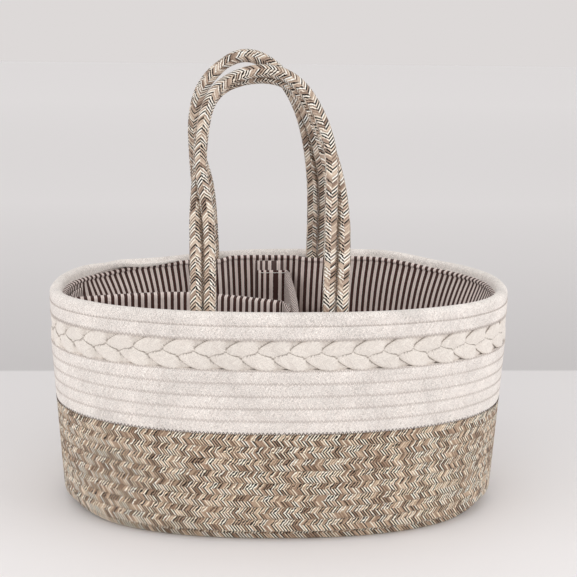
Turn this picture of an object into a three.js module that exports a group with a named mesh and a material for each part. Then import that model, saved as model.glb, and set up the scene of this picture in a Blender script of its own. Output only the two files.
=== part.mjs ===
// Oval diaper caddy of coiled cotton rope: a flat spiral base, walls of sewn courses, a plaited band,
// a cloth lining, two doubled rope handles and a divider insert of two panels.
// Millimetres, +Z up. The origin is on the ground under the middle of the oval, and +X runs along it.

import * as THREE from 'three';

// Rope, and how closely its courses and the other pieces lie
const ROPE_WIDTH = 10;
const ROPE_HEIGHT = 9.55;
const COURSE_GAP = 0.5;
const FIT_GAP = 0.4;
const TIP_HEIGHT = 1.2;

// Plan of the rim, on the centre line of its rope
const RIM_HALF_LENGTH = 185;
const RIM_HALF_WIDTH = 123;
const OVAL_POWER = 2.3;

// Wall: courses of each colour, and the lean from the base up to the upright part
const BROWN_COURSES = 8;
const WHITE_COURSES = 5;
const RIM_COURSES = 2;
const WALL_LEAN = 0.06;
const LEAN_TOP = 144;
const HEEL_INSET = 6.4;

// Base: a flat spiral of turns side by side
const BASE_TURNS = 11;
const BASE_ROPE_WIDTH = 9.1;
const BASE_START_STEP = 2;

// Steps of one turn, and where each turn steps up to the next, at the back left
const LOOP_STEPS = 24;
const CLIMB_STEPS = 2;
const CLIMB_END_STEP = 9;

// Plaited band of three strands
const PLAIT_HEIGHT = 24;
const PLAIT_PERIODS = 14;
const PLAIT_STEPS = 12;
const STRAND_WIDTH = 8.5;
const STRAND_DEPTH = 5;
const PLAIT_WEAVE = 3.2;
const PLAIT_STEEPNESS = 1.6;
const PLAIT_PROUD = 0.8;

// Lining
const LINING_THICKNESS = 1.2;
const LINING_DROP = 3.6;
const LINING_HEEL = 3.6;
const LINING_HEEL_HEIGHT = 12;
const BULGE_SLOPE = 8;
const BULGE_FADE = 14;

// Handles: each is two ropes sewn side by side, whose tails go down between wall and lining
const HANDLE_CENTRE = -11.5;
const HANDLE_SPAN = 100;
const HANDLE_HEIGHT = 186;
const FRONT_LEAN = THREE.MathUtils.degToRad(23);
const BACK_LEAN = THREE.MathUtils.degToRad(13);
const FRONT_INWARD = THREE.MathUtils.degToRad(6);
const BACK_INWARD = THREE.MathUtils.degToRad(12);
const HINGE_BEHIND = 3.5;
const HINGE_ABOVE = 1.8;
const LEG_GAP = 0.9;
const TAIL_LENGTH = 50;
const HANDLE_STEPS = 40;
const HANDLE_SIDES = 8;

// The pair turns as it goes up: heights where each leg starts and stops, and the turn at the top
const LEFT_TWIST = [50, 115];
const RIGHT_TWIST = [40, 150];
const FRONT_TURN = Math.PI / 2;
const BACK_TURN = Math.PI / 2 - BACK_LEAN;

// Route of each handle, as shares of the half span and of the height up the leaning loop
const FRONT_ROUTE = [
  [-1, 0], [-1, 0.32], [-1.02, 0.67], [-0.85, 0.914], [-0.21, 1],
  [0.43, 0.941], [0.9, 0.69], [1.03, 0.387], [1, 0],
];
const BACK_ROUTE = [
  [-1, 0], [-1.08, 0.32], [-1.26, 0.64], [-1.08, 0.86], [-0.46, 1],
  [0.14, 0.94], [0.6, 0.74], [0.9, 0.42], [1, 0],
];

// Divider insert: cloth sleeves over stiff boards, with flaps and hook and loop tape
const CLOTH = 1.2;
const TAPE = 1;
const BOARD = 2;
const BOARD_GAP = 0.6;
const DIVIDER_TOP = 169;
const CROSS_X = 12;
const CROSS_FLAP = 26;
const TAPE_MARGIN = 3;
const TAPE_BOTTOM = 60;
const LOOP_TOP = 178;
const SIDE_WALL_Y = 0;
const SIDE_BOW_X = -80;
const SIDE_BOW_Y = 20;
const SIDE_CROSS_Y = -13;
const SIDE_WALL_FLAP = 38;
const SIDE_CROSS_FLAP = 36;
const SIDE_STEPS = 8;

// Looks
const WHITE_ROPE = { color: 0xece5de, roughness: 0.9 };
const BROWN_ROPE = { color: 0xa5917d, roughness: 0.92 };
const STRIPED_CLOTH = { color: 0x958a88, roughness: 0.95 };
const PALE_TAPE = { color: 0xd8d2cc, roughness: 0.9 };
const BOARD_CARD = { color: 0xb9a98c, roughness: 0.8 };

// Heights worked out from the courses
const COURSE_PITCH = ROPE_HEIGHT + COURSE_GAP;
const WHITE_TOP = ROPE_HEIGHT + (BROWN_COURSES + WHITE_COURSES) * COURSE_PITCH;
const PLAIT_MIDDLE = WHITE_TOP + COURSE_GAP + PLAIT_HEIGHT / 2;
const RIM_BOTTOM = PLAIT_MIDDLE + PLAIT_HEIGHT / 2 + COURSE_GAP;
const RIM_TOP = RIM_BOTTOM + RIM_COURSES * COURSE_PITCH - COURSE_GAP;
const LINING_TOP = RIM_TOP - LINING_DROP;
const LINING_BOTTOM = ROPE_HEIGHT + FIT_GAP;
const FLOOR_TOP = LINING_BOTTOM + LINING_THICKNESS;
const TAIL_BOTTOM = RIM_TOP - TAIL_LENGTH;
const LINING_HEEL_TOP = LINING_BOTTOM + LINING_HEEL_HEIGHT;
const DIVIDER_BOTTOM = FLOOR_TOP + FIT_GAP;

// Layers inside the wall, as distances in from the centre line of the wall rope
const LINING_OUTER = ROPE_WIDTH / 2 + FIT_GAP;
const LINING_INNER = LINING_OUTER + LINING_THICKNESS;
const TAIL_INSET = LINING_OUTER + ROPE_WIDTH / 2;
const BULGE = ROPE_WIDTH + FIT_GAP;
const LOOP_OUTER = LINING_INNER + FIT_GAP;
const LOOP_INNER = LOOP_OUTER + TAPE;
const HOOK_OUTER = LOOP_INNER + FIT_GAP;
const HOOK_INNER = HOOK_OUTER + TAPE;
const FLAP_OUTER = HOOK_INNER + FIT_GAP;
const FLAP_INNER = FLAP_OUTER + CLOTH;
const PANEL_END = FLAP_INNER + FIT_GAP;

const PANEL_THICKNESS = BOARD + 2 * BOARD_GAP + 2 * CLOTH;
const ROPE_SPACING = ROPE_WIDTH + FIT_GAP;
const FULL_TURN = 2 * Math.PI;
const FRONT = -1;
const BACK = 1;

const caddy = new THREE.Group();

function addPiece(name, geometry, look) {
  const piece = new THREE.Mesh(geometry, new THREE.MeshStandardMaterial({ metalness: 0, ...look }));
  piece.name = name;
  caddy.add(piece);
}

// Closed solids

function closedSolid(points, triangles) {
  const a = new THREE.Vector3();
  let volume = 0;
  for (let i = 0; i < triangles.length; i += 3) {
    const [p, q, r] = [points[triangles[i]], points[triangles[i + 1]], points[triangles[i + 2]]];
    volume += a.crossVectors(q, r).dot(p);
  }
  const facingOut = volume > 0 ? triangles : triangles.toReversed();
  const geometry = new THREE.BufferGeometry().setFromPoints(points);
  geometry.setIndex(facingOut);
  geometry.computeVertexNormals();
  return geometry;
}

// Triangles of an end face, from the outline that its corners have once they are placed
function endFace(corners) {
  const normal = new THREE.Vector3();
  const around = (i) => corners[(i + 1) % corners.length];
  corners.forEach((corner, i) => normal.add(corner.clone().cross(around(i))));
  const along = corners[1].clone().sub(corners[0]);
  const across = normal.clone().cross(along).normalize();
  along.normalize();
  const outline = corners.map((corner) => new THREE.Vector2(corner.dot(along), corner.dot(across)));
  return THREE.ShapeUtils.triangulateShape(outline, []);
}

// Skin of a section carried through stations. The section's corners run anticlockwise, and placed()
// gives the point of one corner at one station. A closed loft joins its last station to its first.
function loft(section, stations, placed, closed = false) {
  const sides = section.length;
  const points = stations.flatMap((station) => section.map((corner) => placed(station, corner)));
  const triangles = [];
  const spans = closed ? stations.length : stations.length - 1;
  for (let span = 0; span < spans; span += 1) {
    const near = span * sides;
    const far = ((span + 1) % stations.length) * sides;
    for (let side = 0; side < sides; side += 1) {
      const next = (side + 1) % sides;
      triangles.push(near + side, near + next, far + next);
      triangles.push(near + side, far + next, far + side);
    }
  }
  if (!closed) {
    const last = points.length - sides;
    for (const [i, j, k] of endFace(points.slice(0, sides))) triangles.push(i, k, j);
    for (const [i, j, k] of endFace(points.slice(last))) triangles.push(last + i, last + j, last + k);
  }
  return closedSolid(points, triangles);
}

// Rope pressed flat above and below where courses are sewn together
function courseSection(width, height) {
  return [[1, 0], [0.5, 1], [-0.5, 1], [-1, 0], [-0.5, -1], [0.5, -1]].map(
    ([across, up]) => new THREE.Vector2(across * width / 2, up * height / 2),
  );
}

function roundSection(diameter, sides) {
  return Array.from({ length: sides }, (_, side) => {
    const angle = FULL_TURN * (side + 0.5) / sides;
    return new THREE.Vector2(Math.cos(angle), Math.sin(angle)).multiplyScalar(diameter / 2);
  });
}

// Plan of the wall. A place counts steps anticlockwise from +X, and an inset is measured inward from
// the rim's centre line, square to it.

function outwardAt(step) {
  const turn = FULL_TURN * step / LOOP_STEPS;
  const angle = Math.atan2(RIM_HALF_LENGTH * Math.sin(turn), RIM_HALF_WIDTH * Math.cos(turn));
  return new THREE.Vector2(Math.cos(angle), Math.sin(angle));
}

// Point of a superellipse where its outward direction is the one given
function ovalPoint(outward) {
  const power = OVAL_POWER / (OVAL_POWER - 1);
  const along = RIM_HALF_LENGTH * Math.abs(outward.x);
  const across = RIM_HALF_WIDTH * Math.abs(outward.y);
  const reach = (along ** power + across ** power) ** (1 / power);
  return new THREE.Vector2(
    Math.sign(outward.x) * RIM_HALF_LENGTH * (along / reach) ** (power - 1),
    Math.sign(outward.y) * RIM_HALF_WIDTH * (across / reach) ** (power - 1),
  );
}

function ringCorner(step, inset) {
  const outward = outwardAt(step);
  return ovalPoint(outward).addScaledVector(outward, -inset);
}

function ringPoint(place, inset) {
  const step = Math.floor(place);
  return ringCorner(step, inset).lerp(ringCorner(step + 1, inset), place - step);
}

function onWall(place, inset, z) {
  const { x, y } = ringPoint(place, inset);
  return new THREE.Vector3(x, y, z);
}

// Place on the back half of the oval where a ring crosses x, and the same place on the front half
function backPlaceAt(x, inset) {
  let step = 0;
  while (step + 2 < LOOP_STEPS / 2 && ringCorner(step + 1, inset).x > x) step += 1;
  const right = ringCorner(step, inset).x;
  const left = ringCorner(step + 1, inset).x;
  return step + (right - x) / (right - left);
}

function placeAt(side, x, inset) {
  const place = backPlaceAt(x, inset);
  return side === BACK ? place : LOOP_STEPS - place;
}

function leanInset(z) {
  return WALL_LEAN * Math.max(0, LEAN_TOP - z);
}

// The inside of the wall is rounded in a little more where it meets the floor
function innerInset(z) {
  const heel = THREE.MathUtils.clamp((LINING_HEEL_TOP - z) / LINING_HEEL_HEIGHT, 0, 1);
  return leanInset(z) + LINING_HEEL * heel;
}

function courseZ(level) {
  return ROPE_HEIGHT / 2 + level * COURSE_PITCH;
}

function courseInset(level) {
  return leanInset(courseZ(level)) + HEEL_INSET * Math.max(0, 1 - level) ** 2;
}

// Coils. Each turn lies level and steps up, or outward in the base, in the last steps of the turn.

function turnsAt(index) {
  const turns = Math.floor(index / LOOP_STEPS);
  const within = index - turns * LOOP_STEPS;
  return turns + Math.max(0, within - LOOP_STEPS + CLIMB_STEPS) / CLIMB_STEPS;
}

function between(from, to, share) {
  const entries = Object.keys(from).map((key) => [key, THREE.MathUtils.lerp(from[key], to[key], share)]);
  return Object.fromEntries(entries);
}

// Shortens a run of stations by half the fitting gap where its rope meets the next rope end to end
function trimmed(stations, pointOf, atStart, atEnd) {
  const cut = (end, inner) => between(end, inner, FIT_GAP / 2 / pointOf(end).distanceTo(pointOf(inner)));
  const run = [...stations];
  if (atStart) run[0] = cut(stations[0], stations[1]);
  if (atEnd) run[run.length - 1] = cut(stations.at(-1), stations.at(-2));
  return run;
}

const wallPointOf = ({ place, inset, z }) => onWall(place, inset, z);

function wallRope(stations) {
  return loft(courseSection(ROPE_WIDTH, 1), stations, ({ place, inset, z, height }, corner) =>
    onWall(place, inset - corner.x, z + corner.y * height));
}

function wallStation(index, firstLevel) {
  const level = firstLevel + turnsAt(index);
  const place = CLIMB_END_STEP + LOOP_STEPS - index;
  return { place, inset: courseInset(level), z: courseZ(level), height: ROPE_HEIGHT };
}

function indexRange(first, last) {
  return Array.from({ length: last - first + 1 }, (_, i) => first + i);
}

// The last turn of a coil thins out over the step of the turn below, so that the coil ends level
function thinnedEnd(fullStation, topZ) {
  const endShare = (ROPE_HEIGHT - TIP_HEIGHT) / COURSE_PITCH;
  return [0.5, endShare].map((share) => {
    const height = ROPE_HEIGHT - share * COURSE_PITCH;
    const place = fullStation.place - share * CLIMB_STEPS;
    return { ...fullStation, place, z: topZ - height / 2, height };
  });
}

// The first turn of the rim thickens under the step of the same turn, so that it starts level
function thickenedStart(fullStation, bottomZ) {
  const startShare = (TIP_HEIGHT + COURSE_GAP) / COURSE_PITCH;
  return [startShare, 0.5].map((share) => {
    const height = share * COURSE_PITCH - COURSE_GAP;
    const place = fullStation.place + (1 - share) * CLIMB_STEPS;
    return { ...fullStation, place, z: bottomZ + height / 2, height };
  });
}

function lowerWallStations() {
  const run = indexRange(-CLIMB_STEPS, BROWN_COURSES * LOOP_STEPS);
  return trimmed(run.map((index) => wallStation(index, 1)), wallPointOf, true, true);
}

function upperWallStations() {
  const run = indexRange(0, WHITE_COURSES * LOOP_STEPS - CLIMB_STEPS);
  const level = run.map((index) => wallStation(index, BROWN_COURSES + 1));
  return [...trimmed(level, wallPointOf, true, false), ...thinnedEnd(level.at(-1), WHITE_TOP)];
}

function rimStations() {
  const run = indexRange(0, RIM_COURSES * LOOP_STEPS - CLIMB_STEPS);
  const level = run.map((index) => {
    const z = RIM_BOTTOM + courseZ(turnsAt(index));
    return { ...wallStation(index, 0), inset: leanInset(z), z };
  });
  return [...thickenedStart(level[0], RIM_BOTTOM), ...level, ...thinnedEnd(level.at(-1), RIM_TOP)];
}

// The base starts as a folded rope along a straight line, and each turn outward comes nearer to the oval
const BASE_FOLD = RIM_HALF_LENGTH - RIM_HALF_WIDTH;

function baseCorner(step, share) {
  const outer = ringCorner(step, courseInset(0));
  const atMiddle = 4 * step % LOOP_STEPS === 0 && 2 * step % LOOP_STEPS !== 0;
  const fold = atMiddle ? 0 : Math.sign(outer.x) * BASE_FOLD;
  return new THREE.Vector2(fold, 0).lerp(outer, share);
}

function basePoint({ place, share }, across = 0, z = 0) {
  const step = Math.floor(place);
  const outward = outwardAt(step).lerp(outwardAt(step + 1), place - step);
  const { x, y } = baseCorner(step, share)
    .lerp(baseCorner(step + 1, share), place - step)
    .addScaledVector(outward, across);
  return new THREE.Vector3(x, y, z);
}

function baseStations() {
  const run = indexRange(BASE_START_STEP, BASE_TURNS * LOOP_STEPS - CLIMB_STEPS);
  const stations = run.map((index) => ({
    place: CLIMB_END_STEP + LOOP_STEPS - index,
    share: (turnsAt(index) + 0.5) / (BASE_TURNS - 0.5),
  }));
  return trimmed(stations, (station) => basePoint(station), false, true);
}

function baseCoil() {
  return loft(courseSection(BASE_ROPE_WIDTH, ROPE_HEIGHT), baseStations(), (station, corner) =>
    basePoint(station, corner.x, ROPE_HEIGHT / 2 + corner.y));
}

// Plait. Lengths run anticlockwise round the band from the joint at the back left.

const PLAIT_JOINT = CLIMB_END_STEP + CLIMB_STEPS / 2;
const PLAIT_SIDES = indexRange(0, LOOP_STEPS - 1).map((side) =>
  ringPoint(PLAIT_JOINT + side, 0).distanceTo(ringPoint(PLAIT_JOINT + side + 1, 0)));
const PLAIT_LENGTH = PLAIT_SIDES.reduce((sum, side) => sum + side, 0);

function placeAtLength(length) {
  let side = 0;
  let start = 0;
  while (side + 1 < LOOP_STEPS && start + PLAIT_SIDES[side] < length) {
    start += PLAIT_SIDES[side];
    side += 1;
  }
  return PLAIT_JOINT + side + (length - start) / PLAIT_SIDES[side];
}

function plaitStrand(phase) {
  const swing = (PLAIT_HEIGHT - STRAND_WIDTH) / 2;
  const count = PLAIT_PERIODS * PLAIT_STEPS;
  const length = PLAIT_LENGTH - FIT_GAP;
  const stations = indexRange(0, count).map((i) => {
    const turn = FULL_TURN * i / PLAIT_STEPS + phase;
    const slope = Math.atan(swing * Math.cos(turn) * FULL_TURN * PLAIT_PERIODS / PLAIT_LENGTH);
    const weave = THREE.MathUtils.clamp(PLAIT_STEEPNESS * Math.sin(2 * turn), -1, 1);
    return {
      length: FIT_GAP / 2 + length * i / count,
      z: PLAIT_MIDDLE + swing * Math.sin(turn),
      slope: i === 0 || i === count ? 0 : slope,
      inset: leanInset(PLAIT_MIDDLE) - PLAIT_PROUD - PLAIT_WEAVE * weave,
    };
  });
  const section = [[1, 0], [0, 1], [-1, 0], [0, -1]].map(
    ([up, out]) => new THREE.Vector2(up * STRAND_WIDTH / 2, out * STRAND_DEPTH / 2),
  );
  return loft(section, stations, (station, corner) => {
    const place = placeAtLength(station.length - corner.x * Math.sin(station.slope));
    return onWall(place, station.inset - corner.y, station.z + corner.x * Math.cos(station.slope));
  });
}

// Sorted values without repeats
function sortedApart(values) {
  const sorted = values.toSorted((a, b) => a - b);
  return sorted.filter((value, i) => i === 0 || value - sorted[i - 1] > 1e-3);
}

// Handles

const LEG_XS = [HANDLE_CENTRE - HANDLE_SPAN / 2, HANDLE_CENTRE + HANDLE_SPAN / 2];
const PAIR_HALF_WIDTH = (ROPE_SPACING + ROPE_WIDTH) / 2;

function backWallY(x, inset) {
  return ringPoint(backPlaceAt(x, inset), inset).y;
}

function legPoint(side, x) {
  return ringPoint(placeAt(side, x, TAIL_INSET), TAIL_INSET);
}

// Base line of one handle, through the middles of its two legs
function handleLine(side) {
  const [left, right] = LEG_XS.map((x) => legPoint(side, x));
  const along = right.clone().sub(left).normalize();
  return {
    middle: left.clone().add(right).divideScalar(2),
    along,
    outside: new THREE.Vector2(-along.y, along.x).multiplyScalar(side),
    halfSpan: left.distanceTo(right) / 2,
  };
}

const LEG_BASE = RIM_TOP + LEG_GAP / 2;

function handleRope(side, lean, turn, route, outerOrInner) {
  const line = handleLine(side);
  const along = new THREE.Vector3(line.along.x, line.along.y, 0);
  const out = new THREE.Vector3(line.outside.x, line.outside.y, 0);
  const up = new THREE.Vector3(0, 0, Math.cos(lean)).addScaledVector(out, -Math.sin(lean));
  const outside = new THREE.Vector3(0, 0, Math.sin(lean)).addScaledVector(out, Math.cos(lean));
  const points = route.map(([across, height]) =>
    new THREE.Vector2(across * line.halfSpan, height * HANDLE_HEIGHT));
  const curve = new THREE.SplineCurve(points);
  const stations = indexRange(0, HANDLE_STEPS).map((i) => {
    const share = i / HANDLE_STEPS;
    const at = curve.getPointAt(share);
    const tangent = curve.getTangentAt(share);
    const loopOut = along.clone().multiplyScalar(-tangent.y).addScaledVector(up, tangent.x);
    const twist = turn * THREE.MathUtils.smoothstep(at.y, ...(at.x < 0 ? LEFT_TWIST : RIGHT_TWIST));
    const apart = loopOut.clone()
      .multiplyScalar(Math.cos(twist))
      .addScaledVector(outside, -Math.sin(twist));
    const centre = new THREE.Vector3(line.middle.x, line.middle.y, LEG_BASE)
      .addScaledVector(along, at.x)
      .addScaledVector(up, at.y)
      .addScaledVector(apart, outerOrInner * ROPE_SPACING / 2);
    return { centre, loopOut, isEnd: i === 0 || i === HANDLE_STEPS };
  });
  return loft(roundSection(ROPE_WIDTH, HANDLE_SIDES), stations, ({ centre, loopOut, isEnd }, corner) => {
    const point = centre.clone().addScaledVector(loopOut, corner.x).addScaledVector(outside, corner.y);
    if (isEnd) point.addScaledVector(up, (LEG_BASE - point.z) / up.z);
    return point;
  });
}

// Hinge line of a handle: over the rim rope, just outside the legs
function printHinge(name, side) {
  const { middle, along, outside } = handleLine(side);
  const at = middle.clone().addScaledVector(outside, ROPE_WIDTH / 2 + HINGE_BEHIND);
  const point = [at.x, at.y, RIM_TOP + HINGE_ABOVE].map((value) => value.toFixed(3));
  const axis = [along.x, along.y].map((value) => value.toFixed(5));
  console.log(`${name} handle: hinge through ${point}, along ${axis}, 0`);
}

// A tail's top slants down towards the middle, so that the leg above it can lean further in
function handleTail(side, x, inward) {
  const foot = legPoint(side, x);
  const { outside } = handleLine(side);
  const stations = sortedApart([TAIL_BOTTOM, LEAN_TOP, RIM_TOP - LEG_GAP / 2]);
  return loft(roundSection(ROPE_WIDTH, HANDLE_SIDES), stations, (z, corner) => {
    const inside = ROPE_WIDTH / 2 - corner.y * side;
    const slant = z === stations.at(-1) ? inside * Math.tan(inward) : 0;
    const at = foot.clone().addScaledVector(outside, -leanInset(z));
    return new THREE.Vector3(at.x + corner.x, at.y + corner.y, z - slant);
  });
}

// Lining, which bulges in over the tails of the handles

// Places across one pair of tails, on one side of the oval: foot, top, top, foot of the bulge
function bulgePlaces(side, legX) {
  const top = PAIR_HALF_WIDTH + FIT_GAP;
  const foot = top + BULGE_SLOPE;
  return sortedApart([
    placeAt(side, legX + foot, LINING_OUTER), placeAt(side, legX + top, LINING_OUTER + BULGE),
    placeAt(side, legX - top, LINING_OUTER + BULGE), placeAt(side, legX - foot, LINING_OUTER),
  ]);
}

const BULGES = [FRONT, BACK].flatMap((side) => LEG_XS.map((legX) => bulgePlaces(side, legX)));

function bulgeAt(place) {
  const bulge = BULGES.find(([start, , , end]) => place >= start && place <= end);
  if (!bulge) return 0;
  const [start, rise, fall, end] = bulge;
  return BULGE * Math.min((place - start) / (rise - start), (end - place) / (end - fall), 1);
}

// A strip that follows the wall: its outer and inner faces are insets, and rows are heights
function wallStrip(places, rows, outer, inner, closed = false) {
  const section = [
    ...rows.map((z) => new THREE.Vector2(outer, z)),
    ...rows.toReversed().map((z) => new THREE.Vector2(inner, z)),
  ];
  return loft(section.toReversed(), places, (place, { x: inset, y: z }) => {
    const fade = THREE.MathUtils.clamp((z - TAIL_BOTTOM + BULGE_FADE) / (BULGE_FADE - FIT_GAP), 0, 1);
    return onWall(place, inset + innerInset(z) + fade * bulgeAt(place), z);
  }, closed);
}

function liningWall() {
  const places = sortedApart([...indexRange(0, LOOP_STEPS - 1), ...BULGES.flat()]);
  const rows = sortedApart([
    LINING_BOTTOM, LINING_HEEL_TOP, TAIL_BOTTOM - BULGE_FADE, TAIL_BOTTOM - FIT_GAP, LEAN_TOP, LINING_TOP,
  ]);
  return wallStrip(places, rows, LINING_OUTER, LINING_INNER, true);
}

function liningFloor() {
  const inset = LINING_INNER + innerInset(LINING_BOTTOM) + FIT_GAP;
  const shape = new THREE.Shape(indexRange(0, LOOP_STEPS - 1).map((step) => ringCorner(step, inset)));
  const geometry = new THREE.ExtrudeGeometry(shape, { depth: LINING_THICKNESS, bevelEnabled: false });
  return geometry.translate(0, 0, LINING_BOTTOM);
}

// Dividers

const DIVIDER_ROWS = sortedApart([DIVIDER_BOTTOM, LINING_HEEL_TOP, LEAN_TOP, DIVIDER_TOP]);
const LOOP_ROWS = sortedApart([TAPE_BOTTOM, LEAN_TOP, LOOP_TOP]);
const HOOK_ROWS = sortedApart([TAPE_BOTTOM, LEAN_TOP, DIVIDER_TOP - TAPE_MARGIN]);

function placesBetween(from, to) {
  const [low, high] = [Math.min(from, to), Math.max(from, to)];
  const corners = indexRange(Math.ceil(low), Math.floor(high));
  return sortedApart([low, ...corners, high]);
}

// Cloth folded over a board: closed along the top, open along the bottom and at the ends
function sleeveSection() {
  const out = PANEL_THICKNESS / 2;
  const inner = out - CLOTH;
  const low = DIVIDER_ROWS.slice(0, -1);
  const outerRows = DIVIDER_ROWS;
  const innerRows = [...low, DIVIDER_TOP - CLOTH];
  return [
    ...innerRows.map((z) => new THREE.Vector2(-inner, z)),
    ...innerRows.toReversed().map((z) => new THREE.Vector2(inner, z)),
    ...outerRows.map((z) => new THREE.Vector2(out, z)),
    ...outerRows.toReversed().map((z) => new THREE.Vector2(-out, z)),
  ];
}

function boardSection() {
  const rows = [...DIVIDER_ROWS.slice(0, -1), DIVIDER_TOP - CLOTH - FIT_GAP];
  return [
    ...rows.map((z) => new THREE.Vector2(BOARD / 2, z)),
    ...rows.toReversed().map((z) => new THREE.Vector2(-BOARD / 2, z)),
  ];
}

// A station of a panel gives its middle line at a height and the direction across the panel
function panel(section, stations) {
  return loft(section, stations, ({ at, across }, { x: offset, y: z }) => {
    const { x, y } = at(z).addScaledVector(across, offset);
    return new THREE.Vector3(x, y, z);
  });
}

function crossStations(shortBy) {
  const across = new THREE.Vector2(1, 0);
  return [FRONT, BACK].map((side) => ({
    across,
    at: (z) => {
      const inset = PANEL_END + innerInset(z);
      const ends = [-1, 1].map((edge) => backWallY(CROSS_X + edge * PANEL_THICKNESS / 2, inset));
      return new THREE.Vector2(CROSS_X, side * (Math.min(...ends) - shortBy));
    },
  }));
}

// Left face of the cross divider, where the side divider's flap is held by tape
const CROSS_FACE = CROSS_X - PANEL_THICKNESS / 2;
const CROSS_LOOP = CROSS_FACE - FIT_GAP - TAPE;
const CROSS_HOOK = CROSS_LOOP - FIT_GAP - TAPE;
const SIDE_FLAP_X = CROSS_HOOK - FIT_GAP - CLOTH;
const SIDE_END_X = SIDE_FLAP_X - FIT_GAP;

// The side divider bows from the left wall to the cross divider. Its wall end follows the wall's lean.
function sideStations(shortBy) {
  const wallX = -(RIM_HALF_LENGTH - PANEL_END - PANEL_THICKNESS / 2 - shortBy);
  const rightX = SIDE_END_X - PANEL_THICKNESS / 2 - shortBy;
  const plan = new THREE.SplineCurve([
    new THREE.Vector2(wallX, SIDE_WALL_Y),
    new THREE.Vector2(SIDE_BOW_X, SIDE_BOW_Y),
    new THREE.Vector2(rightX, SIDE_CROSS_Y),
  ]);
  return indexRange(0, SIDE_STEPS).map((i) => {
    const middle = plan.getPoint(i / SIDE_STEPS);
    const along = plan.getTangent(i / SIDE_STEPS);
    const wallShare = 1 - i / SIDE_STEPS;
    return {
      across: new THREE.Vector2(along.y, -along.x),
      at: (z) => new THREE.Vector2(middle.x + wallShare * innerInset(z), middle.y),
    };
  });
}

function flatStrip(x, thickness, fromY, toY, bottom, top) {
  const middle = [x + thickness / 2, (fromY + toY) / 2, (bottom + top) / 2];
  return new THREE.BoxGeometry(thickness, Math.abs(toY - fromY), top - bottom).translate(...middle);
}

// Least distance between surface points of two ropes, or of turns of one rope that lie half a turn apart
function surfacePoints(geometry, sides) {
  const corners = geometry.getAttribute('position');
  const cornerAt = (i) => new THREE.Vector3().fromBufferAttribute(corners, i);
  const rings = [];
  for (let start = 0; start < corners.count; start += sides) {
    rings.push(indexRange(start, start + sides - 1).map(cornerAt));
  }
  return rings.map((ring, i) => {
    const next = rings[Math.min(i + 1, rings.length - 1)];
    return ring.flatMap((point, side) => [point, point.clone().lerp(next[side], 0.5)]);
  });
}

function leastGap(ropeA, ropeB, sides, skip) {
  const a = surfacePoints(ropeA, sides);
  const b = surfacePoints(ropeB, sides);
  let least = Infinity;
  for (let i = 0; i < a.length; i += 1) {
    const others = b.slice(i + skip).flat();
    for (const point of a[i]) {
      for (const other of others) least = Math.min(least, point.distanceToSquared(other));
    }
  }
  return Math.sqrt(least);
}

// Basket

const COURSE_SIDES = 6;
const coils = [
  ['base_coil', baseCoil(), BROWN_ROPE],
  ['lower_wall_coil', wallRope(lowerWallStations()), BROWN_ROPE],
  ['upper_wall_coil', wallRope(upperWallStations()), WHITE_ROPE],
  ['rim_coil', wallRope(rimStations()), WHITE_ROPE],
];
for (const [name, geometry, look] of coils) {
  addPiece(name, geometry, look);
  const gap = leastGap(geometry, geometry, COURSE_SIDES, LOOP_STEPS / 2);
  console.log(`${name}: least gap to itself ${gap.toFixed(2)} mm`);
}

const STRAND_SIDES = 4;
const strands = [0, 1, 2].map((strand) => plaitStrand(FULL_TURN * strand / 3));
strands.forEach((geometry, strand) => {
  addPiece(`plait_strand_${strand + 1}`, geometry, WHITE_ROPE);
  const gap = leastGap(geometry, strands[(strand + 1) % strands.length], STRAND_SIDES, 0);
  console.log(`plait_strand_${strand + 1}: least gap to the next strand ${gap.toFixed(2)} mm`);
});

addPiece('lining_wall', liningWall(), STRIPED_CLOTH);
addPiece('lining_floor', liningFloor(), STRIPED_CLOTH);

// Handles and their tails

const handles = [
  ['front', FRONT, FRONT_LEAN, FRONT_TURN, FRONT_ROUTE, FRONT_INWARD],
  ['back', BACK, BACK_LEAN, BACK_TURN, BACK_ROUTE, BACK_INWARD],
];
for (const [name, side, lean, turn, route, inward] of handles) {
  printHinge(name, side);
  for (const [rope, outerOrInner] of [['outer', 1], ['inner', -1]]) {
    addPiece(`${name}_handle_${rope}_rope`, handleRope(side, lean, turn, route, outerOrInner), BROWN_ROPE);
    for (const [leg, legX, outward] of [['left', LEG_XS[0], -1], ['right', LEG_XS[1], 1]]) {
      const x = legX + outward * outerOrInner * ROPE_SPACING / 2;
      addPiece(`${name}_${leg}_${rope}_tail`, handleTail(side, x, inward), BROWN_ROPE);
    }
  }
}

// Cross divider: a panel from wall to wall, with a flap turned left along the wall at each end

addPiece('cross_divider_cover', panel(sleeveSection(), crossStations(0)), STRIPED_CLOTH);
addPiece('cross_divider_board', panel(boardSection(), crossStations(FIT_GAP)), BOARD_CARD);
const CROSS_RIGHT = CROSS_X + PANEL_THICKNESS / 2;
const CROSS_LEFT = CROSS_FACE - CROSS_FLAP;
for (const [name, side] of [['front', FRONT], ['back', BACK]]) {
  const strip = (left, right, rows, outer, inner) => {
    const places = placesBetween(placeAt(side, left, outer), placeAt(side, right, outer));
    return wallStrip(places, rows, outer, inner);
  };
  const tapeLeft = CROSS_LEFT + TAPE_MARGIN;
  const tapeRight = CROSS_FACE - TAPE_MARGIN;
  addPiece(`lining_${name}_loop_tape`,
    strip(CROSS_LEFT - TAPE_MARGIN, CROSS_FACE, LOOP_ROWS, LOOP_OUTER, LOOP_INNER), PALE_TAPE);
  addPiece(`cross_divider_${name}_hook_tape`,
    strip(tapeLeft, tapeRight, HOOK_ROWS, HOOK_OUTER, HOOK_INNER), PALE_TAPE);
  addPiece(`cross_divider_${name}_flap`,
    strip(CROSS_LEFT, CROSS_RIGHT, DIVIDER_ROWS, FLAP_OUTER, FLAP_INNER), STRIPED_CLOTH);
}

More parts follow.
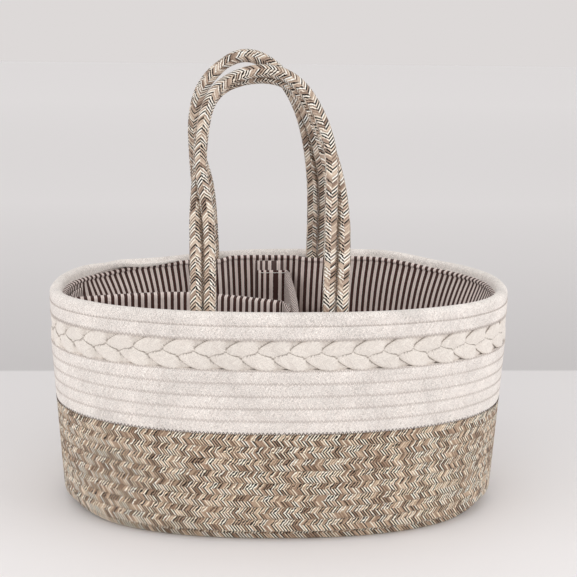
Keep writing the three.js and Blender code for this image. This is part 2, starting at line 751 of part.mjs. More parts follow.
// Side divider: a bowed panel, with a flap back along the left wall and one forward along the cross
// divider

addPiece('side_divider_cover', panel(sleeveSection(), sideStations(0)), STRIPED_CLOTH);
addPiece('side_divider_board', panel(boardSection(), sideStations(FIT_GAP)), BOARD_CARD);

const LEFT_END = LOOP_STEPS / 2;
function leftPlaceAt(y, inset) {
  const corner = ringCorner(LEFT_END - 1, inset);
  const end = ringCorner(LEFT_END, inset);
  return LEFT_END - (y - end.y) / (corner.y - end.y);
}
const wallFlapFront = SIDE_WALL_Y - PANEL_THICKNESS / 2;
const wallFlapBack = SIDE_WALL_Y + SIDE_WALL_FLAP;
function leftStrip(fromY, toY, rows, outer, inner) {
  const places = placesBetween(leftPlaceAt(fromY, outer), leftPlaceAt(toY, outer));
  return wallStrip(places, rows, outer, inner);
}
const wallHookFront = wallFlapFront + TAPE_MARGIN;
const wallHookBack = wallFlapBack - TAPE_MARGIN;
addPiece('lining_left_loop_tape',
  leftStrip(wallFlapFront, wallFlapBack + TAPE_MARGIN, HOOK_ROWS, LOOP_OUTER, LOOP_INNER), PALE_TAPE);
addPiece('side_divider_wall_hook_tape',
  leftStrip(wallHookFront, wallHookBack, HOOK_ROWS, HOOK_OUTER, HOOK_INNER), PALE_TAPE);
addPiece('side_divider_wall_flap',
  leftStrip(wallFlapFront, wallFlapBack, DIVIDER_ROWS, FLAP_OUTER, FLAP_INNER), STRIPED_CLOTH);

const flapBack = SIDE_CROSS_Y + PANEL_THICKNESS;
const flapFront = SIDE_CROSS_Y - SIDE_CROSS_FLAP;
const hookBack = flapBack - TAPE_MARGIN;
const hookFront = flapFront + TAPE_MARGIN;
const tapeTop = DIVIDER_TOP - TAPE_MARGIN;
addPiece('cross_divider_loop_tape',
  flatStrip(CROSS_LOOP, TAPE, flapFront - TAPE_MARGIN, flapBack, TAPE_BOTTOM, tapeTop), PALE_TAPE);
addPiece('side_divider_cross_hook_tape',
  flatStrip(CROSS_HOOK, TAPE, hookFront, hookBack, TAPE_BOTTOM, tapeTop), PALE_TAPE);
addPiece('side_divider_cross_flap',
  flatStrip(SIDE_FLAP_X, CLOTH, flapFront, flapBack, DIVIDER_BOTTOM, DIVIDER_TOP), STRIPED_CLOTH);

export default caddy;
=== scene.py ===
"""Looks of an oval rope diaper caddy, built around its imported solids: braided and plaited rope, sewing
thread, ticking lining, covered dividers and tape. Lengths are in millimetres until a mesh is made."""

import math

import bpy
import numpy as np
from mathutils import Matrix, Vector


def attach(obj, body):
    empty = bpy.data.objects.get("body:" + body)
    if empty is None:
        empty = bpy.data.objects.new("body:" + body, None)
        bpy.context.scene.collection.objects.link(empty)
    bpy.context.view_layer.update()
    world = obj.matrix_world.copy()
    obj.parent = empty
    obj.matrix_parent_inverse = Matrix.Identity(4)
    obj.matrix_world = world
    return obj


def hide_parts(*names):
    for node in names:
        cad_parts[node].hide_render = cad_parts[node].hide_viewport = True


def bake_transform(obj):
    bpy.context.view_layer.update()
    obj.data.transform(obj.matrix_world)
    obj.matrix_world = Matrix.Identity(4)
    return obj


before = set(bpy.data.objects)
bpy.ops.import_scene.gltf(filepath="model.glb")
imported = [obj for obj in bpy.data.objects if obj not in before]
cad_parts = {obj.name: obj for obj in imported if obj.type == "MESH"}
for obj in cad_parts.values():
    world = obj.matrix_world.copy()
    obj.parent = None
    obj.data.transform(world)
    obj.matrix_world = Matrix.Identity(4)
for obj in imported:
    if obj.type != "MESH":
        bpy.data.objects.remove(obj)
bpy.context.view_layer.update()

MM = 0.001
TURN = 2 * math.pi
MERGE = 1e-6

# Rope and courses, as in the solids
ROPE = 10.0
COURSE_HEIGHT = 9.55
COURSE_GAP = 0.5
COURSE_PITCH = COURSE_HEIGHT + COURSE_GAP
BROWN_COURSES = 8
WHITE_COURSES = 5
RIM_COURSES = 2
FIT_GAP = 0.4

# How square the section of a sewn rope is: 2 is an ellipse. A wall rope is also pressed into its neighbours,
# which makes it a little higher than the pitch of the courses.
ROUND = 2.0
BASE_PRESSED = 5.0
WHITE_PRESSED = (8.0, 1.14)
BROWN_PRESSED = (8.0, 1.15)
FACE_DOWN = 0.08
CROWN_SQUARE = 2.3
CROWN_DROP = 0.11
WALL_STEP = 3.5
WALL_SIDES = 20

# A wall rope wanders a little, and where it is thinner it keeps more of its width than of its height.
# Its tapered ends stop at a share of the whole taper.
WANDER_UP = 0.15
WANDER_WIDTH = 0.01
LEAST_WIDTH = 0.35
TAPER = 0.9

# The end of the rim's rope is tucked inside the top course. Its length and its ramps are in steps.
RIM_TAIL = 3.4
RIM_TAIL_SAMPLES = 34
TUCK_RAMP = (0.2, 2.0)
TUCK_INWARD = 5.6
TUCK_THINS = 0.62
POINT_RAMP = (2.4, RIM_TAIL)
POINT_THINS = 0.2
SINK_RAMP = (0.8, 2.6)
SINK = 2.6

# Plan of the rim and lean of the wall
RIM_HALF_LENGTH = 185.0
RIM_HALF_WIDTH = 123.0
OVAL_POWER = 2.3
WALL_LEAN = 0.06
LEAN_TOP = 144.0
HEEL_INSET = 6.4

# The two ends of the oval stand up a little from the ground
END_RISE = 3.0
END_RISE_TOP = 45.0
END_START = 0.7

# A turn of coil is 24 steps, and it steps up in its last two, at the back left
STEPS = 24
CLIMB_STEPS = 2
CLIMB_END = 9
SAMPLES = 10
PLACE_SAMPLES = 60
PROFILE_REACH = 36

# How far two ropes that meet end to end run into each other, in steps
END_LAP = 0.08

# Base spiral
BASE_TURNS = 11
BASE_WIDTH = 9.4
BASE_FOLD = RIM_HALF_LENGTH - RIM_HALF_WIDTH
BASE_START = 2

# The end of the oval that the base spiral turns about, by place: 1 is the right end and -1 the left one
BASE_ENDS = ([0, 5, 7, 17, 19, 24], [1, 1, -1, -1, 1, 1])

# Heights
WHITE_TOP = COURSE_HEIGHT + (BROWN_COURSES + WHITE_COURSES) * COURSE_PITCH
PLAIT_HEIGHT = 24.0
PLAIT_MIDDLE = WHITE_TOP + COURSE_GAP + PLAIT_HEIGHT / 2
RIM_BOTTOM = PLAIT_MIDDLE + PLAIT_HEIGHT / 2 + COURSE_GAP
RIM_TOP = RIM_BOTTOM + RIM_COURSES * COURSE_PITCH - COURSE_GAP
LIFT_BOTTOM = 70.0

# Plait of three flattened strands
STRANDS = 3
STRAND_SIDES = 48
PLAIT_PERIODS = 14
PLAIT_SAMPLES = 40
STRAND_WIDTH = 12.6
STRAND_OVER = 2.4
STRAND_DEPTH = 5.0
STRAND_SQUARE = 3.4
STRAND_WEAVE = 1.6
STRAND_PROUD = 0.9
STRAND_STAY = 0.5
STRAND_SUDDEN = 0.8
STRAND_LATE = math.radians(6)
STRAND_STEP = 0.9
SWING = (PLAIT_HEIGHT + STRAND_OVER - STRAND_WIDTH) / 2
CREASE_FULL = 0.1
CREASE_WIDTH = 0.8
CREASE_REACH = 0.3
CREASE_STEEPEST = 2.0
CREASE_FLATTEST = 0.2
CREASE_BACK = 1.0
CREASE_PARTS = 40
TURN_AHEAD = 0.001
NO_STRAND = -100.0
STRAND_LAP = 1.6

# Sewing thread in the grooves
THREAD = 0.5
THREAD_SIDES = 4
STEEP = 0.9
STITCH = 3.0
STITCH_REACH = 1.5
SEWING_PROUD = 4.75
WHITE_SEWING_PROUD = 4.87

# Running stitch round the flaps of the cross divider
RUN_THREAD = 0.6
RUN_STITCH = 3.6
RUN_STEP = RUN_STITCH / 8
RUN_RAISE = 0.45
RUN_SHARP = 1.6
RUN_MARGIN = 2.2
RUN_BOTTOM = 4.0
RUN_INSET = 10.9
RUN_ROWS = 60
RUN_COLUMNS = 14

# Lining
LINING_INSET = 5.9
LINING_BOTTOM = COURSE_HEIGHT + FIT_GAP
LINING_TOP = RIM_TOP - 3.4
LINING_HEEL = 3.6
LINING_HEEL_HEIGHT = 12.0
LINING_HEEL_TOP = LINING_BOTTOM + LINING_HEEL_HEIGHT
LINING_NARROWS = 0.045
STRIPE = 5.7
CLOTH = 0.9
FLOOR_CLOTH = 0.8
FLOOR_GAP = 0.3
FLOOR_UP = 1.0
FLOOR_CELLS = (160, 24)
RIPPLE = 0.5
RIPPLE_WAVES = (0.11, 0.13)
LINING_CELLS = 330
DROP_DEPTH = 45.0

# The lining over the handle tails, its looseness below the hem, its folds, and where a flap holds it
TAIL_COVER = 11.0
TAIL_COVER_RAMP = (9.5, 21.0)
TAIL_COVER_START = 17.0
TAIL_COVER_FULL = 1.0
HANG_TOP = 4.0
HANG_DEPTH = 55.0
HANG_CURVE = 1.7
HANG_RAMP = (12.0, 90.0)
FOLDS = (0.4, 0.25)
FOLD_WAVES = (5.1, 9.3)
FOLD_START = 0.6
FOLD_SLANT = 0.02
HELD_FROM = (10.5, 10.95)
HELD_TO = (12.2, 12.6)

# Handles
HANDLE_CENTRE = -11.5
HANDLE_SPAN = 100.0
HANDLE_HEIGHT = 186.0
PAIR_SPACING = 10.2
TAIL_INSET = 10.4
TAIL_BOTTOM = RIM_TOP - 49.6
TAIL_TOP = RIM_TOP - 5.0
TAIL_POINTS = 16
LEG_BASE = RIM_TOP + 0.45
LEFT_TWIST = (50.0, 115.0)
RIGHT_TWIST = (40.0, 150.0)
FRONT_LEAN = math.radians(23)
BACK_LEAN = math.radians(13)
FRONT_TURNS = (math.radians(82), math.radians(100))
BACK_TURNS = (math.radians(88), math.radians(66))
FRONT_ROUTE = [
    (-1, 0), (-1.03, 0.32), (-1.09, 0.66), (-0.89, 0.91), (-0.21, 1),
    (0.43, 0.941), (0.9, 0.69), (1.03, 0.387), (1, 0),
]
BACK_ROUTE = [
    (-1, 0), (-1.08, 0.32), (-1.26, 0.64), (-1.08, 0.86), (-0.46, 1),
    (0.14, 0.94), (0.64, 0.74), (0.95, 0.42), (1, 0),
]
LEG_XS = (HANDLE_CENTRE - HANDLE_SPAN / 2, HANDLE_CENTRE + HANDLE_SPAN / 2)
ROUTE_SAMPLES = 60
LOOP_POINTS = 130
LOOP_TRIM = 2
OVER_RAMP = (-36.0, -4.0)
SOFT_REACH = 4
HANDLE_STEP = 2.5
HANDLE_SIDES = 16

# Sewing that holds the two ropes of a handle together
SEAM_STITCH = 2.2
SEAM_TRIM = 3
SEAM_OUT = 3.5
SEAM_REACH = 1.9
SEAM_THREAD = 0.55
SEAM_STEP = 0.8

# Dividers
DIVIDER_BOTTOM = LINING_BOTTOM + 1.2 + FIT_GAP
DIVIDER_TOP = 169.0
DIVIDER_HEIGHT = DIVIDER_TOP - DIVIDER_BOTTOM
PANEL = 5.6
PANEL_END = 11.4
CROSS_X = 12.0
CROSS_FLAP_LEFT = -16.8
CROSS_FLAP_RIGHT = 14.8
CROSS_CELLS = 90
SIDE_PLAN = [(-170.8, 0.0), (-80.0, 20.0), (1.6, -13.0)]
SIDE_CELLS = 160
TURNED_PLAN = [(1.0, -12.6), (2.4, -16.0), (3.6, -24.0), (4.6, -36.0), (5.4, -49.0)]
TURNED_CELLS = 40
TURNED_LEAN = 2.2
TURNED_RAMP = (0.0, 0.8)
COVER_CELLS = 96
FLAP_CELLS = 60
FLAP_INSET = 10.4
FLAP_EDGE = 0.5
EDGE_SIDE = 0.03
EDGE_TOP = 0.02

# A cover swells off its board below the top edge, and the cross divider bows a little
SWELL = 0.55
SWELL_DEPTH = 18.0
BOW = 0.5
BOW_WAVE = 0.035
BOW_START = 1.0
BOW_RAMP = (60.0, 150.0)

# Hook and loop tape
TAPE_CELLS = 30
TAPE_MARGIN = 3.0
TAPE_BOTTOM = 60.0
TAPE_TOP = DIVIDER_TOP - TAPE_MARGIN
LOOP_TOP = 177.5
LOOP_INSET = 7.3
LOOP_PLAN_INSET = 7.5
LOOP_THICK = 0.7
HOOK_INSET = 8.9
HOOK_THICK = 0.8
FLAT_TAPE_CELLS = (12, 24)

# Where tape and flap start and stop: x on the front and back walls, y at the left end, and x, then y, on
# the cross divider
CROSS_LOOP_RIGHT = 9.2
CROSS_HOOK_RIGHT = 6.2
LEFT_LOOP = (-2.8, 41.0)
LEFT_HOOK = (0.2, 35.0)
LEFT_FLAP = (-2.8, 38.0)
FLAT_LOOP = (8.3, -52.0, -7.4)
FLAT_HOOK = (6.9, -46.0, -10.4)

FRONT = -1
BACK = 1


# Making meshes

def shaped_grid(name, along, across, place, size=(1.0, 1.0), around=None):
    """Add a flat grid and bend it: place(u, v) gives its points. Its UV map gets the size given.

    around gives the share of the way round of each line across, where they aren't evenly spaced."""
    bpy.ops.object.select_all(action="DESELECT")
    bpy.ops.mesh.primitive_grid_add(x_subdivisions=along, y_subdivisions=across, size=1)
    piece = bpy.context.object
    piece.name = name
    mesh = piece.data
    mesh.name = name
    flat = np.empty(3 * len(mesh.vertices), np.float32)
    mesh.vertices.foreach_get("co", flat)
    u = np.rint((flat[0::3].astype(float) + 0.5) * along) / along
    v = np.rint((flat[1::3].astype(float) + 0.5) * across) / across
    points = np.column_stack(place(u, v)) * MM
    mesh.vertices.foreach_set("co", points.astype(np.float32).ravel())
    uv = np.empty(2 * len(mesh.loops), np.float32)
    mesh.uv_layers.active.data.foreach_get("uv", uv)
    if around is not None:
        uv[1::2] = np.interp(uv[1::2], np.linspace(0, 1, across + 1), around)
    uv[0::2] *= size[0]
    uv[1::2] *= size[1]
    mesh.uv_layers.active.data.foreach_set("uv", uv)
    mesh.update()
    bpy.ops.object.shade_smooth()
    return piece


def select(piece):
    """Make a piece the only one that is selected, and the active one."""
    bpy.ops.object.select_all(action="DESELECT")
    piece.select_set(True)
    bpy.context.view_layer.objects.active = piece


def face_out(piece, rolled=False):
    """Turn the faces of a piece outward. The edges of a rolled grid are joined first."""
    select(piece)
    bpy.ops.object.mode_set(mode="EDIT")
    bpy.ops.mesh.select_all(action="SELECT")
    if rolled:
        bpy.ops.mesh.remove_doubles(threshold=MERGE)
    bpy.ops.mesh.normals_make_consistent(inside=False)
    bpy.ops.object.mode_set(mode="OBJECT")


def thicken(piece, thickness, offset=0.0):
    """Give a cloth its thickness."""
    select(piece)
    modifier = piece.modifiers.new("Solidify", "SOLIDIFY")
    modifier.thickness = thickness * MM
    modifier.offset = offset
    bpy.ops.object.modifier_apply(modifier=modifier.name)


def join(pieces, name):
    select(pieces[0])
    for piece in pieces[1:]:
        piece.select_set(True)
    bpy.ops.object.join()
    pieces[0].name = name
    pieces[0].data.name = name
    return pieces[0]


def lengths_along(path):
    return np.concatenate([[0], np.cumsum(np.linalg.norm(np.diff(path, axis=0), axis=1))])


def unit(vectors):
    return vectors / np.linalg.norm(vectors, axis=-1, keepdims=True)


def resampled(values, lengths, wanted):
    return np.column_stack([np.interp(wanted, lengths, column) for column in np.asarray(values).T])


def bent(value, square):
    return np.sign(value) * np.abs(value) ** (2 / square)


def rope(name, path, facing, width, height, step=4.0, sides=14, scale=None, square=ROUND, crown=0.0):
    """A rope along a path. The middle of its face looks along facing, and its ends are closed.

    width is its size along facing and height across it; scale gives shares of (width, height) along it.
    crown tells how much its upper half is round, where nothing presses on it."""
    path = np.asarray(path, float)
    lengths = lengths_along(path)
    cells = max(3, round(lengths[-1] / step))
    wanted = np.linspace(0, lengths[-1], cells + 1)
    centre = resampled(path, lengths, wanted)
    tangent = unit(np.gradient(centre, axis=0))
    facing = resampled(np.broadcast_to(facing, path.shape), lengths, wanted)
    facing = unit(facing - tangent * np.sum(facing * tangent, axis=1, keepdims=True))
    across = np.cross(tangent, facing)
    scale = np.ones((len(path), 2)) if scale is None else np.asarray(scale, float)
    scale = resampled(scale, lengths, wanted)
    crown = np.interp(wanted, lengths, np.broadcast_to(crown, lengths.shape))
    end = np.clip(np.minimum(wanted, lengths[-1] - wanted) / (width / 2), 0, 1)
    rounded = np.sqrt(1 - (1 - end) ** 2)

    def place(u, v):
        i = np.rint(u * cells).astype(int)
        angle = TURN * (v - 0.5)
        free = np.where(np.sin(angle) > 0, crown[i], 0.0)
        bend = square + (CROWN_SQUARE - square) * free
        out = bent(np.cos(angle), bend) * rounded[i] * scale[i, 0] * width / 2
        over = bent(np.sin(angle), bend) * rounded[i] * scale[i, 1] * (1 - CROWN_DROP * free) * height / 2
        return (centre[i] + facing[i] * out[:, None] + across[i] * over[:, None]).T

    turn = TURN * np.linspace(-0.5, 0.5, sides + 1)
    section = np.column_stack([bent(np.cos(turn), square) * width, bent(np.sin(turn), square) * height])
    around = lengths_along(section)
    piece = shaped_grid(name, cells, sides, place, (lengths[-1] * MM, 1.0), around / around[-1])
    face_out(piece, rolled=True)
    return piece


def thread(name, path, thickness, step):
    """A sewing thread along a path."""
    path = np.asarray(path, float)
    steep = np.abs(unit(np.gradient(path, axis=0))[:, 2:]) > STEEP
    facing = np.where(steep, [[1.0, 0.0, 0.0]], [[0.0, 0.0, 1.0]])
    return rope(name, path, facing, thickness, thickness, step, THREAD_SIDES)


# Plan of the wall. A place counts steps anticlockwise from +X, and an inset is square to the rim.

def oval(place, inset):
    """Points of a ring and the outward directions there."""
    turn = TURN * np.asarray(place, float) / STEPS
    angle = np.arctan2(RIM_HALF_LENGTH * np.sin(turn), RIM_HALF_WIDTH * np.cos(turn))
    out = np.array([np.cos(angle), np.sin(angle)])
    half = np.array([[RIM_HALF_LENGTH], [RIM_HALF_WIDTH]])
    power = OVAL_POWER / (OVAL_POWER - 1)
    shape = out.shape
    flat = out.reshape(2, -1)
    reach = np.sum((half * np.abs(flat)) ** power, axis=0) ** (1 / power)
    points = np.sign(flat) * half * (half * np.abs(flat) / reach) ** (power - 1)
    points = points.reshape(shape) - out * inset
    return points[0], points[1], out[0], out[1]


PLACES = np.linspace(0, STEPS, STEPS * PLACE_SAMPLES + 1)


def place_of_x(side, x, inset):
    """Place where a ring crosses x, on the back or the front half of the oval."""
    half = PLACES[PLACES <= STEPS / 2]
    back = np.interp(-np.asarray(x, float), -oval(half, inset)[0], half)
    return back if side == BACK else STEPS - back


def place_of_left_y(y, inset):
    """Place where a ring crosses y at the left end of the oval."""
    end = PLACES[(PLACES > STEPS / 4) & (PLACES < STEPS * 3 / 4)]
    return np.interp(-np.asarray(y, float), -oval(end, inset)[1], end)


def smooth(value, start, stop):
    share = np.clip((np.asarray(value, float) - start) / (stop - start), 0, 1)
    return share * share * (3 - 2 * share)


def lean_inset(z):
    return WALL_LEAN * np.maximum(0, LEAN_TOP - np.asarray(z, float))


def inner_inset(z):
    heel = np.clip((LINING_HEEL_TOP - np.asarray(z, float)) / LINING_HEEL_HEIGHT, 0, 1)
    return lean_inset(z) + LINING_HEEL * heel


def course_z(level):
    return COURSE_HEIGHT / 2 + level * COURSE_PITCH


def course_inset(level):
    return lean_inset(course_z(level)) + HEEL_INSET * np.maximum(0, 1 - level) ** 2


def turns_at(index):
    """Whole turns so far, with a smooth step up in the last steps of each turn."""
    turns = np.floor(index / STEPS)
    return turns + smooth(index - turns * STEPS, STEPS - CLIMB_STEPS, STEPS)


def rounding_weights(reach):
    """Weights that round a row of values off over a reach to each side."""
    weights = np.hanning(2 * reach + 3)[1:-1]
    return weights / weights.sum()


def profile(points):
    """A rounded curve through (place, value) points all the way round the oval, as values at PLACES."""
    places, values = np.array(points).T
    table = np.interp(PLACES, places, values)
    ring = table[:-1]
    wrapped = np.concatenate([ring[-PROFILE_REACH:], ring, ring[:PROFILE_REACH]])
    ring = np.convolve(wrapped, rounding_weights(PROFILE_REACH), mode="valid")
    return np.append(ring, ring[0])


def look_up(table, place):
    return np.interp(np.mod(place, STEPS), PLACES, table)


# How far the rim stands above or below level: high at the back right and low at the back left
RIM_LIFT = profile([
    (0, -1.5), (1.6, -1.6), (2.8, -0.6), (3.5, 2.0), (4.2, 4.4), (5.0, 3.2), (6.0, 2.2), (6.8, 0),
    (7.6, -2.4), (8.3, -3.4), (9.2, -1.4), (10.3, -1.2), (12, -3.2), (13, -2.8), (14.5, -1.4),
    (16, -0.5), (18, 0), (20, -0.5), (21, -1.2), (22.3, -1.8), (24, -1.5),
])


def lift(place, z):
    return look_up(RIM_LIFT, place) * smooth(z, LIFT_BOTTOM, RIM_TOP)


def rise(place, z):
    """How far the heel of the wall stands up at the two ends of the oval."""
    end = smooth(np.abs(np.cos(TURN * np.asarray(place, float) / STEPS)), END_START, 1.0)
    return END_RISE * end * (1 - smooth(z, 0, END_RISE_TOP))


def unevenness(lengths, seed):
    """Slow small changes along a hand-fed rope, from -1 to 1."""
    waves = [(61.0, 1.3), (97.0, 2.1), (173.0, 0.7), (37.0, 3.9)]
    return sum(np.sin(lengths * TURN / wave + seed * phase) for wave, phase in waves) / len(waves)


# Materials

def from_srgb(red, green, blue):
    def linear(level):
        share = level / 255
        return share / 12.92 if share <= 0.04045 else ((share + 0.055) / 1.055) ** 2.4

    return (linear(red), linear(green), linear(blue), 1.0)


def colour_stops(*rows):
    """Stops of a colour ramp from rows of a position and a colour."""
    return [(position, from_srgb(*colour)) for position, *colour in rows]


PLAIN_WHITE = (1.0, 1.0, 1.0, 1.0)
DARK_STRIPE = from_srgb(74, 48, 43)
PALE_STRIPE = from_srgb(245, 230, 223)
STRIPE_LINE = from_srgb(212, 200, 196)
FLUFF = from_srgb(226, 218, 212)


def add(tree, kind, inputs=None, **settings):
    """Add a shader node. An input is linked to the output given, or takes the value given."""
    node = tree.nodes.new("ShaderNode" + kind)
    for key, value in settings.items():
        setattr(node, key, value)
    for socket, value in (inputs or {}).items():
        if isinstance(value, bpy.types.NodeSocket):
            tree.links.new(value, node.inputs[socket])
        else:
            node.inputs[socket].default_value = value
    return node


def calc(tree, operation, *values):
    return add(tree, "Math", dict(enumerate(values)), operation=operation).outputs[0]


def times(tree, first, second):
    return calc(tree, "MULTIPLY", first, second)


def plus(tree, first, second):
    return calc(tree, "ADD", first, second)


def minus(tree, first, second):
    return calc(tree, "SUBTRACT", first, second)


def ramp(tree, factor, stops):
    node = add(tree, "ValToRGB", {"Fac": factor})
    bar = node.color_ramp
    while len(bar.elements) < len(stops):
        bar.elements.new(1.0)
    for element, (position, colour) in zip(bar.elements, stops):
        element.position = position
        element.color = colour
    return node.outputs["Color"]


def mixed(tree, factor, first, second, blend="MIX"):
    inputs = {0: factor, 6: first, 7: second}
    return add(tree, "Mix", inputs, data_type="RGBA", blend_type=blend).outputs[2]


def shaded(tree, colour, shade):
    """A colour times a grey shade."""
    grey = add(tree, "CombineColor", {"Red": shade, "Green": shade, "Blue": shade})
    return mixed(tree, 1.0, colour, grey.outputs["Color"], "MULTIPLY")


def new_group(name, inputs, outputs):
    """A shader node group. Its UV is a vector and its other sockets are numbers.

    Returns the tree, its input sockets and its output node."""
    tree = bpy.data.node_groups.new(name, "ShaderNodeTree")
    for socket in inputs:
        kind = "NodeSocketVector" if socket == "UV" else "NodeSocketFloat"
        tree.interface.new_socket(socket, in_out="INPUT", socket_type=kind)
    for socket in outputs:
        tree.interface.new_socket(socket, in_out="OUTPUT", socket_type="NodeSocketFloat")
    return tree, tree.nodes.new("NodeGroupInput").outputs, tree.nodes.new("NodeGroupOutput")


def give(tree, result, **values):
    """Link the outputs of a node group."""
    for socket, value in values.items():
        tree.links.new(value, result.inputs[socket])
    return tree


def grouped(tree, group, inputs):
    return add(tree, "Group", inputs, node_tree=group).outputs


# Yarns of a braid: how unevenly they lie, the size of its patches in yarns and columns, and their plies
JITTER_ALONG = 0.4
JITTER_SCALE = 1.6
JITTER_AROUND = 0.12
HALF_YARN = 0.5
PATCH_ALONG = 0.22
PATCH_AROUND = 1.9
PATCH_START = 0.36
PATCH_FULL = 0.6
PLY_ALONG = 4.0
PLY_ACROSS = 2.0

# Fuzz of a textile, and the threads and stripes of the ticking as shares of a stripe
BROAD_SCALE = 38.0
BROAD_SHARE = 0.3
MIDDLE_SHADE = 0.65
WOBBLE_SCALE = 420.0
WOBBLE = 0.05
DARK_EDGE = (0.275, 0.245)
LINE_EDGE = (0.455, 0.49)
WEAVE_PITCH = 0.45

# How a textile takes the light, with the painted shade between its yarns and along its creases
SPECULAR = 0.2
SHEEN_ROUGHNESS = 0.6
TWIST_SHADE = 0.03
UNSHADED_ROUND = 0.55
FIBRE_HEIGHT = 0.45
ROPE_LEVEL = 0.985
ROPE_FUZZ = 1500.0
CREASE_SHADE_TINT = (1.0, 0.93, 0.86)
CLOTH_LEVEL = 0.98
CLOTH_SHADE = 0.25
CLOTH_FUZZ = 2400.0
CLOTH_DEPTH = 0.12
THREAD_FUZZ = 5000.0
THREAD_DEPTH = 0.05


def make_braid_group():
    """Yarns of a braid on a UV map whose U is metres along the rope and V turns around it.

    The yarns of the two halves of a column lie half a yarn apart. Yarn is low for every other yarn and
    high for the rest, the more mixed the higher Chance is. Patch goes from 0 to 1 over a few yarns."""
    inputs = ("UV", "Yarn", "Columns", "Slant", "Jitter", "Chance")
    tree, given, result = new_group("braided_yarns", inputs, ("Yarn", "Round", "Twist", "Patch"))
    split = add(tree, "SeparateXYZ", {0: given["UV"]}).outputs
    along = calc(tree, "DIVIDE", split["X"], given["Yarn"])
    around = times(tree, split["Y"], given["Columns"])
    where = add(tree, "CombineXYZ", {"X": times(tree, along, JITTER_ALONG), "Y": around})
    noise = add(tree, "TexNoise", {"Vector": where.outputs[0], "Scale": JITTER_SCALE, "Detail": 1.0})
    shift = times(tree, minus(tree, noise.outputs["Fac"], 0.5), given["Jitter"])
    around = plus(tree, around, times(tree, shift, JITTER_AROUND))
    column = calc(tree, "FLOOR", around)
    within = minus(tree, calc(tree, "FRACT", around), 0.5)
    from_middle = times(tree, calc(tree, "ABSOLUTE", within), 2.0)
    slanted = plus(tree, along, times(tree, from_middle, given["Slant"]))
    side = calc(tree, "GREATER_THAN", within, 0.0)
    phase = plus(tree, plus(tree, slanted, shift), times(tree, side, HALF_YARN))
    number = calc(tree, "FLOOR", phase)
    wide = add(tree, "CombineXYZ", {
        "X": times(tree, along, PATCH_ALONG), "Y": times(tree, around, PATCH_AROUND),
    })
    broad = add(tree, "TexNoise", {"Vector": wide.outputs[0], "Scale": 1.0, "Detail": 1.0})
    patch = add(tree, "MapRange", {
        "Value": broad.outputs["Fac"], "From Min": PATCH_START, "From Max": PATCH_FULL,
    })
    which = add(tree, "CombineXYZ", {"X": number, "Y": column, "Z": side})
    random = add(tree, "TexWhiteNoise", {"Vector": which.outputs[0]}, noise_dimensions="3D")
    spread = plus(tree, 0.5, times(tree, given["Chance"], 0.5))
    every_other = calc(tree, "FLOORED_MODULO", number, 2.0)
    other = times(tree, every_other, minus(tree, 1.0, spread))
    picked = plus(tree, times(tree, random.outputs["Value"], spread), other)
    share = calc(tree, "FRACT", phase)
    rounded = calc(tree, "SINE", times(tree, share, math.pi))
    ply = plus(tree, times(tree, from_middle, PLY_ALONG), times(tree, share, PLY_ACROSS))
    twist = calc(tree, "SINE", times(tree, ply, TURN / 2))
    return give(tree, result, Yarn=picked, Round=rounded, Twist=twist, Patch=patch.outputs["Result"])


def make_fuzz_group():
    """Short loose fibres over a textile, as a height and a shade, on Object coordinates."""
    tree, given, result = new_group("textile_fuzz", ("Scale",), ("Height", "Shade"))
    where = add(tree, "TexCoord").outputs["Object"]
    fine = add(tree, "TexNoise", {"Vector": where, "Scale": given["Scale"], "Detail": 3.0})
    broad = add(tree, "TexNoise", {"Vector": where, "Scale": BROAD_SCALE, "Detail": 2.0})
    together = plus(tree, fine.outputs["Fac"], times(tree, broad.outputs["Fac"], BROAD_SHARE))
    return give(tree, result, Height=fine.outputs["Fac"], Shade=minus(tree, together, MIDDLE_SHADE))


def make_ticking_group():
    """Woven ticking stripes across U, in metres: a dark stripe, and a pale one with a thin middle line."""
    tree, given, result = new_group("ticking_stripes", ("UV", "Stripe"), ("Dark", "Line", "Weave"))
    split = add(tree, "SeparateXYZ", {0: given["UV"]}).outputs
    wobble = add(tree, "TexNoise", {"Vector": given["UV"], "Scale": WOBBLE_SCALE, "Detail": 1.0})
    drift = times(tree, minus(tree, wobble.outputs["Fac"], 0.5), WOBBLE)
    across = plus(tree, calc(tree, "DIVIDE", split["X"], given["Stripe"]), drift)
    share = calc(tree, "FRACT", across)
    from_dark = calc(tree, "ABSOLUTE", minus(tree, share, 0.5))
    dark = add(tree, "MapRange", {"Value": from_dark, "From Min": DARK_EDGE[0], "From Max": DARK_EDGE[1]})
    line = add(tree, "MapRange", {"Value": from_dark, "From Min": LINE_EDGE[0], "From Max": LINE_EDGE[1]})
    threads = TURN / (WEAVE_PITCH * MM)
    warp = calc(tree, "SINE", times(tree, split["X"], threads))
    weft = calc(tree, "SINE", times(tree, split["Y"], threads))
    weave = times(tree, warp, weft)
    return give(tree, result, Dark=dark.outputs["Result"], Line=line.outputs["Result"], Weave=weave)


BRAID = make_braid_group()
FUZZ = make_fuzz_group()
TICKING = make_ticking_group()


def new_material(name, roughness, sheen):
    material = bpy.data.materials.new(name)
    material.use_nodes = True
    tree = material.node_tree
    shader = tree.nodes["Principled BSDF"]
    shader.inputs["Roughness"].default_value = roughness
    shader.inputs["Specular IOR Level"].default_value = SPECULAR
    shader.inputs["Sheen Weight"].default_value = sheen
    shader.inputs["Sheen Roughness"].default_value = SHEEN_ROUGHNESS
    return material, tree, shader


def dress(tree, shader, colour, height, depth):
    tree.links.new(colour, shader.inputs["Base Color"])
    bump = add(tree, "Bump", {"Height": height, "Strength": 1.0, "Distance": depth})
    tree.links.new(bump.outputs["Normal"], shader.inputs["Normal"])


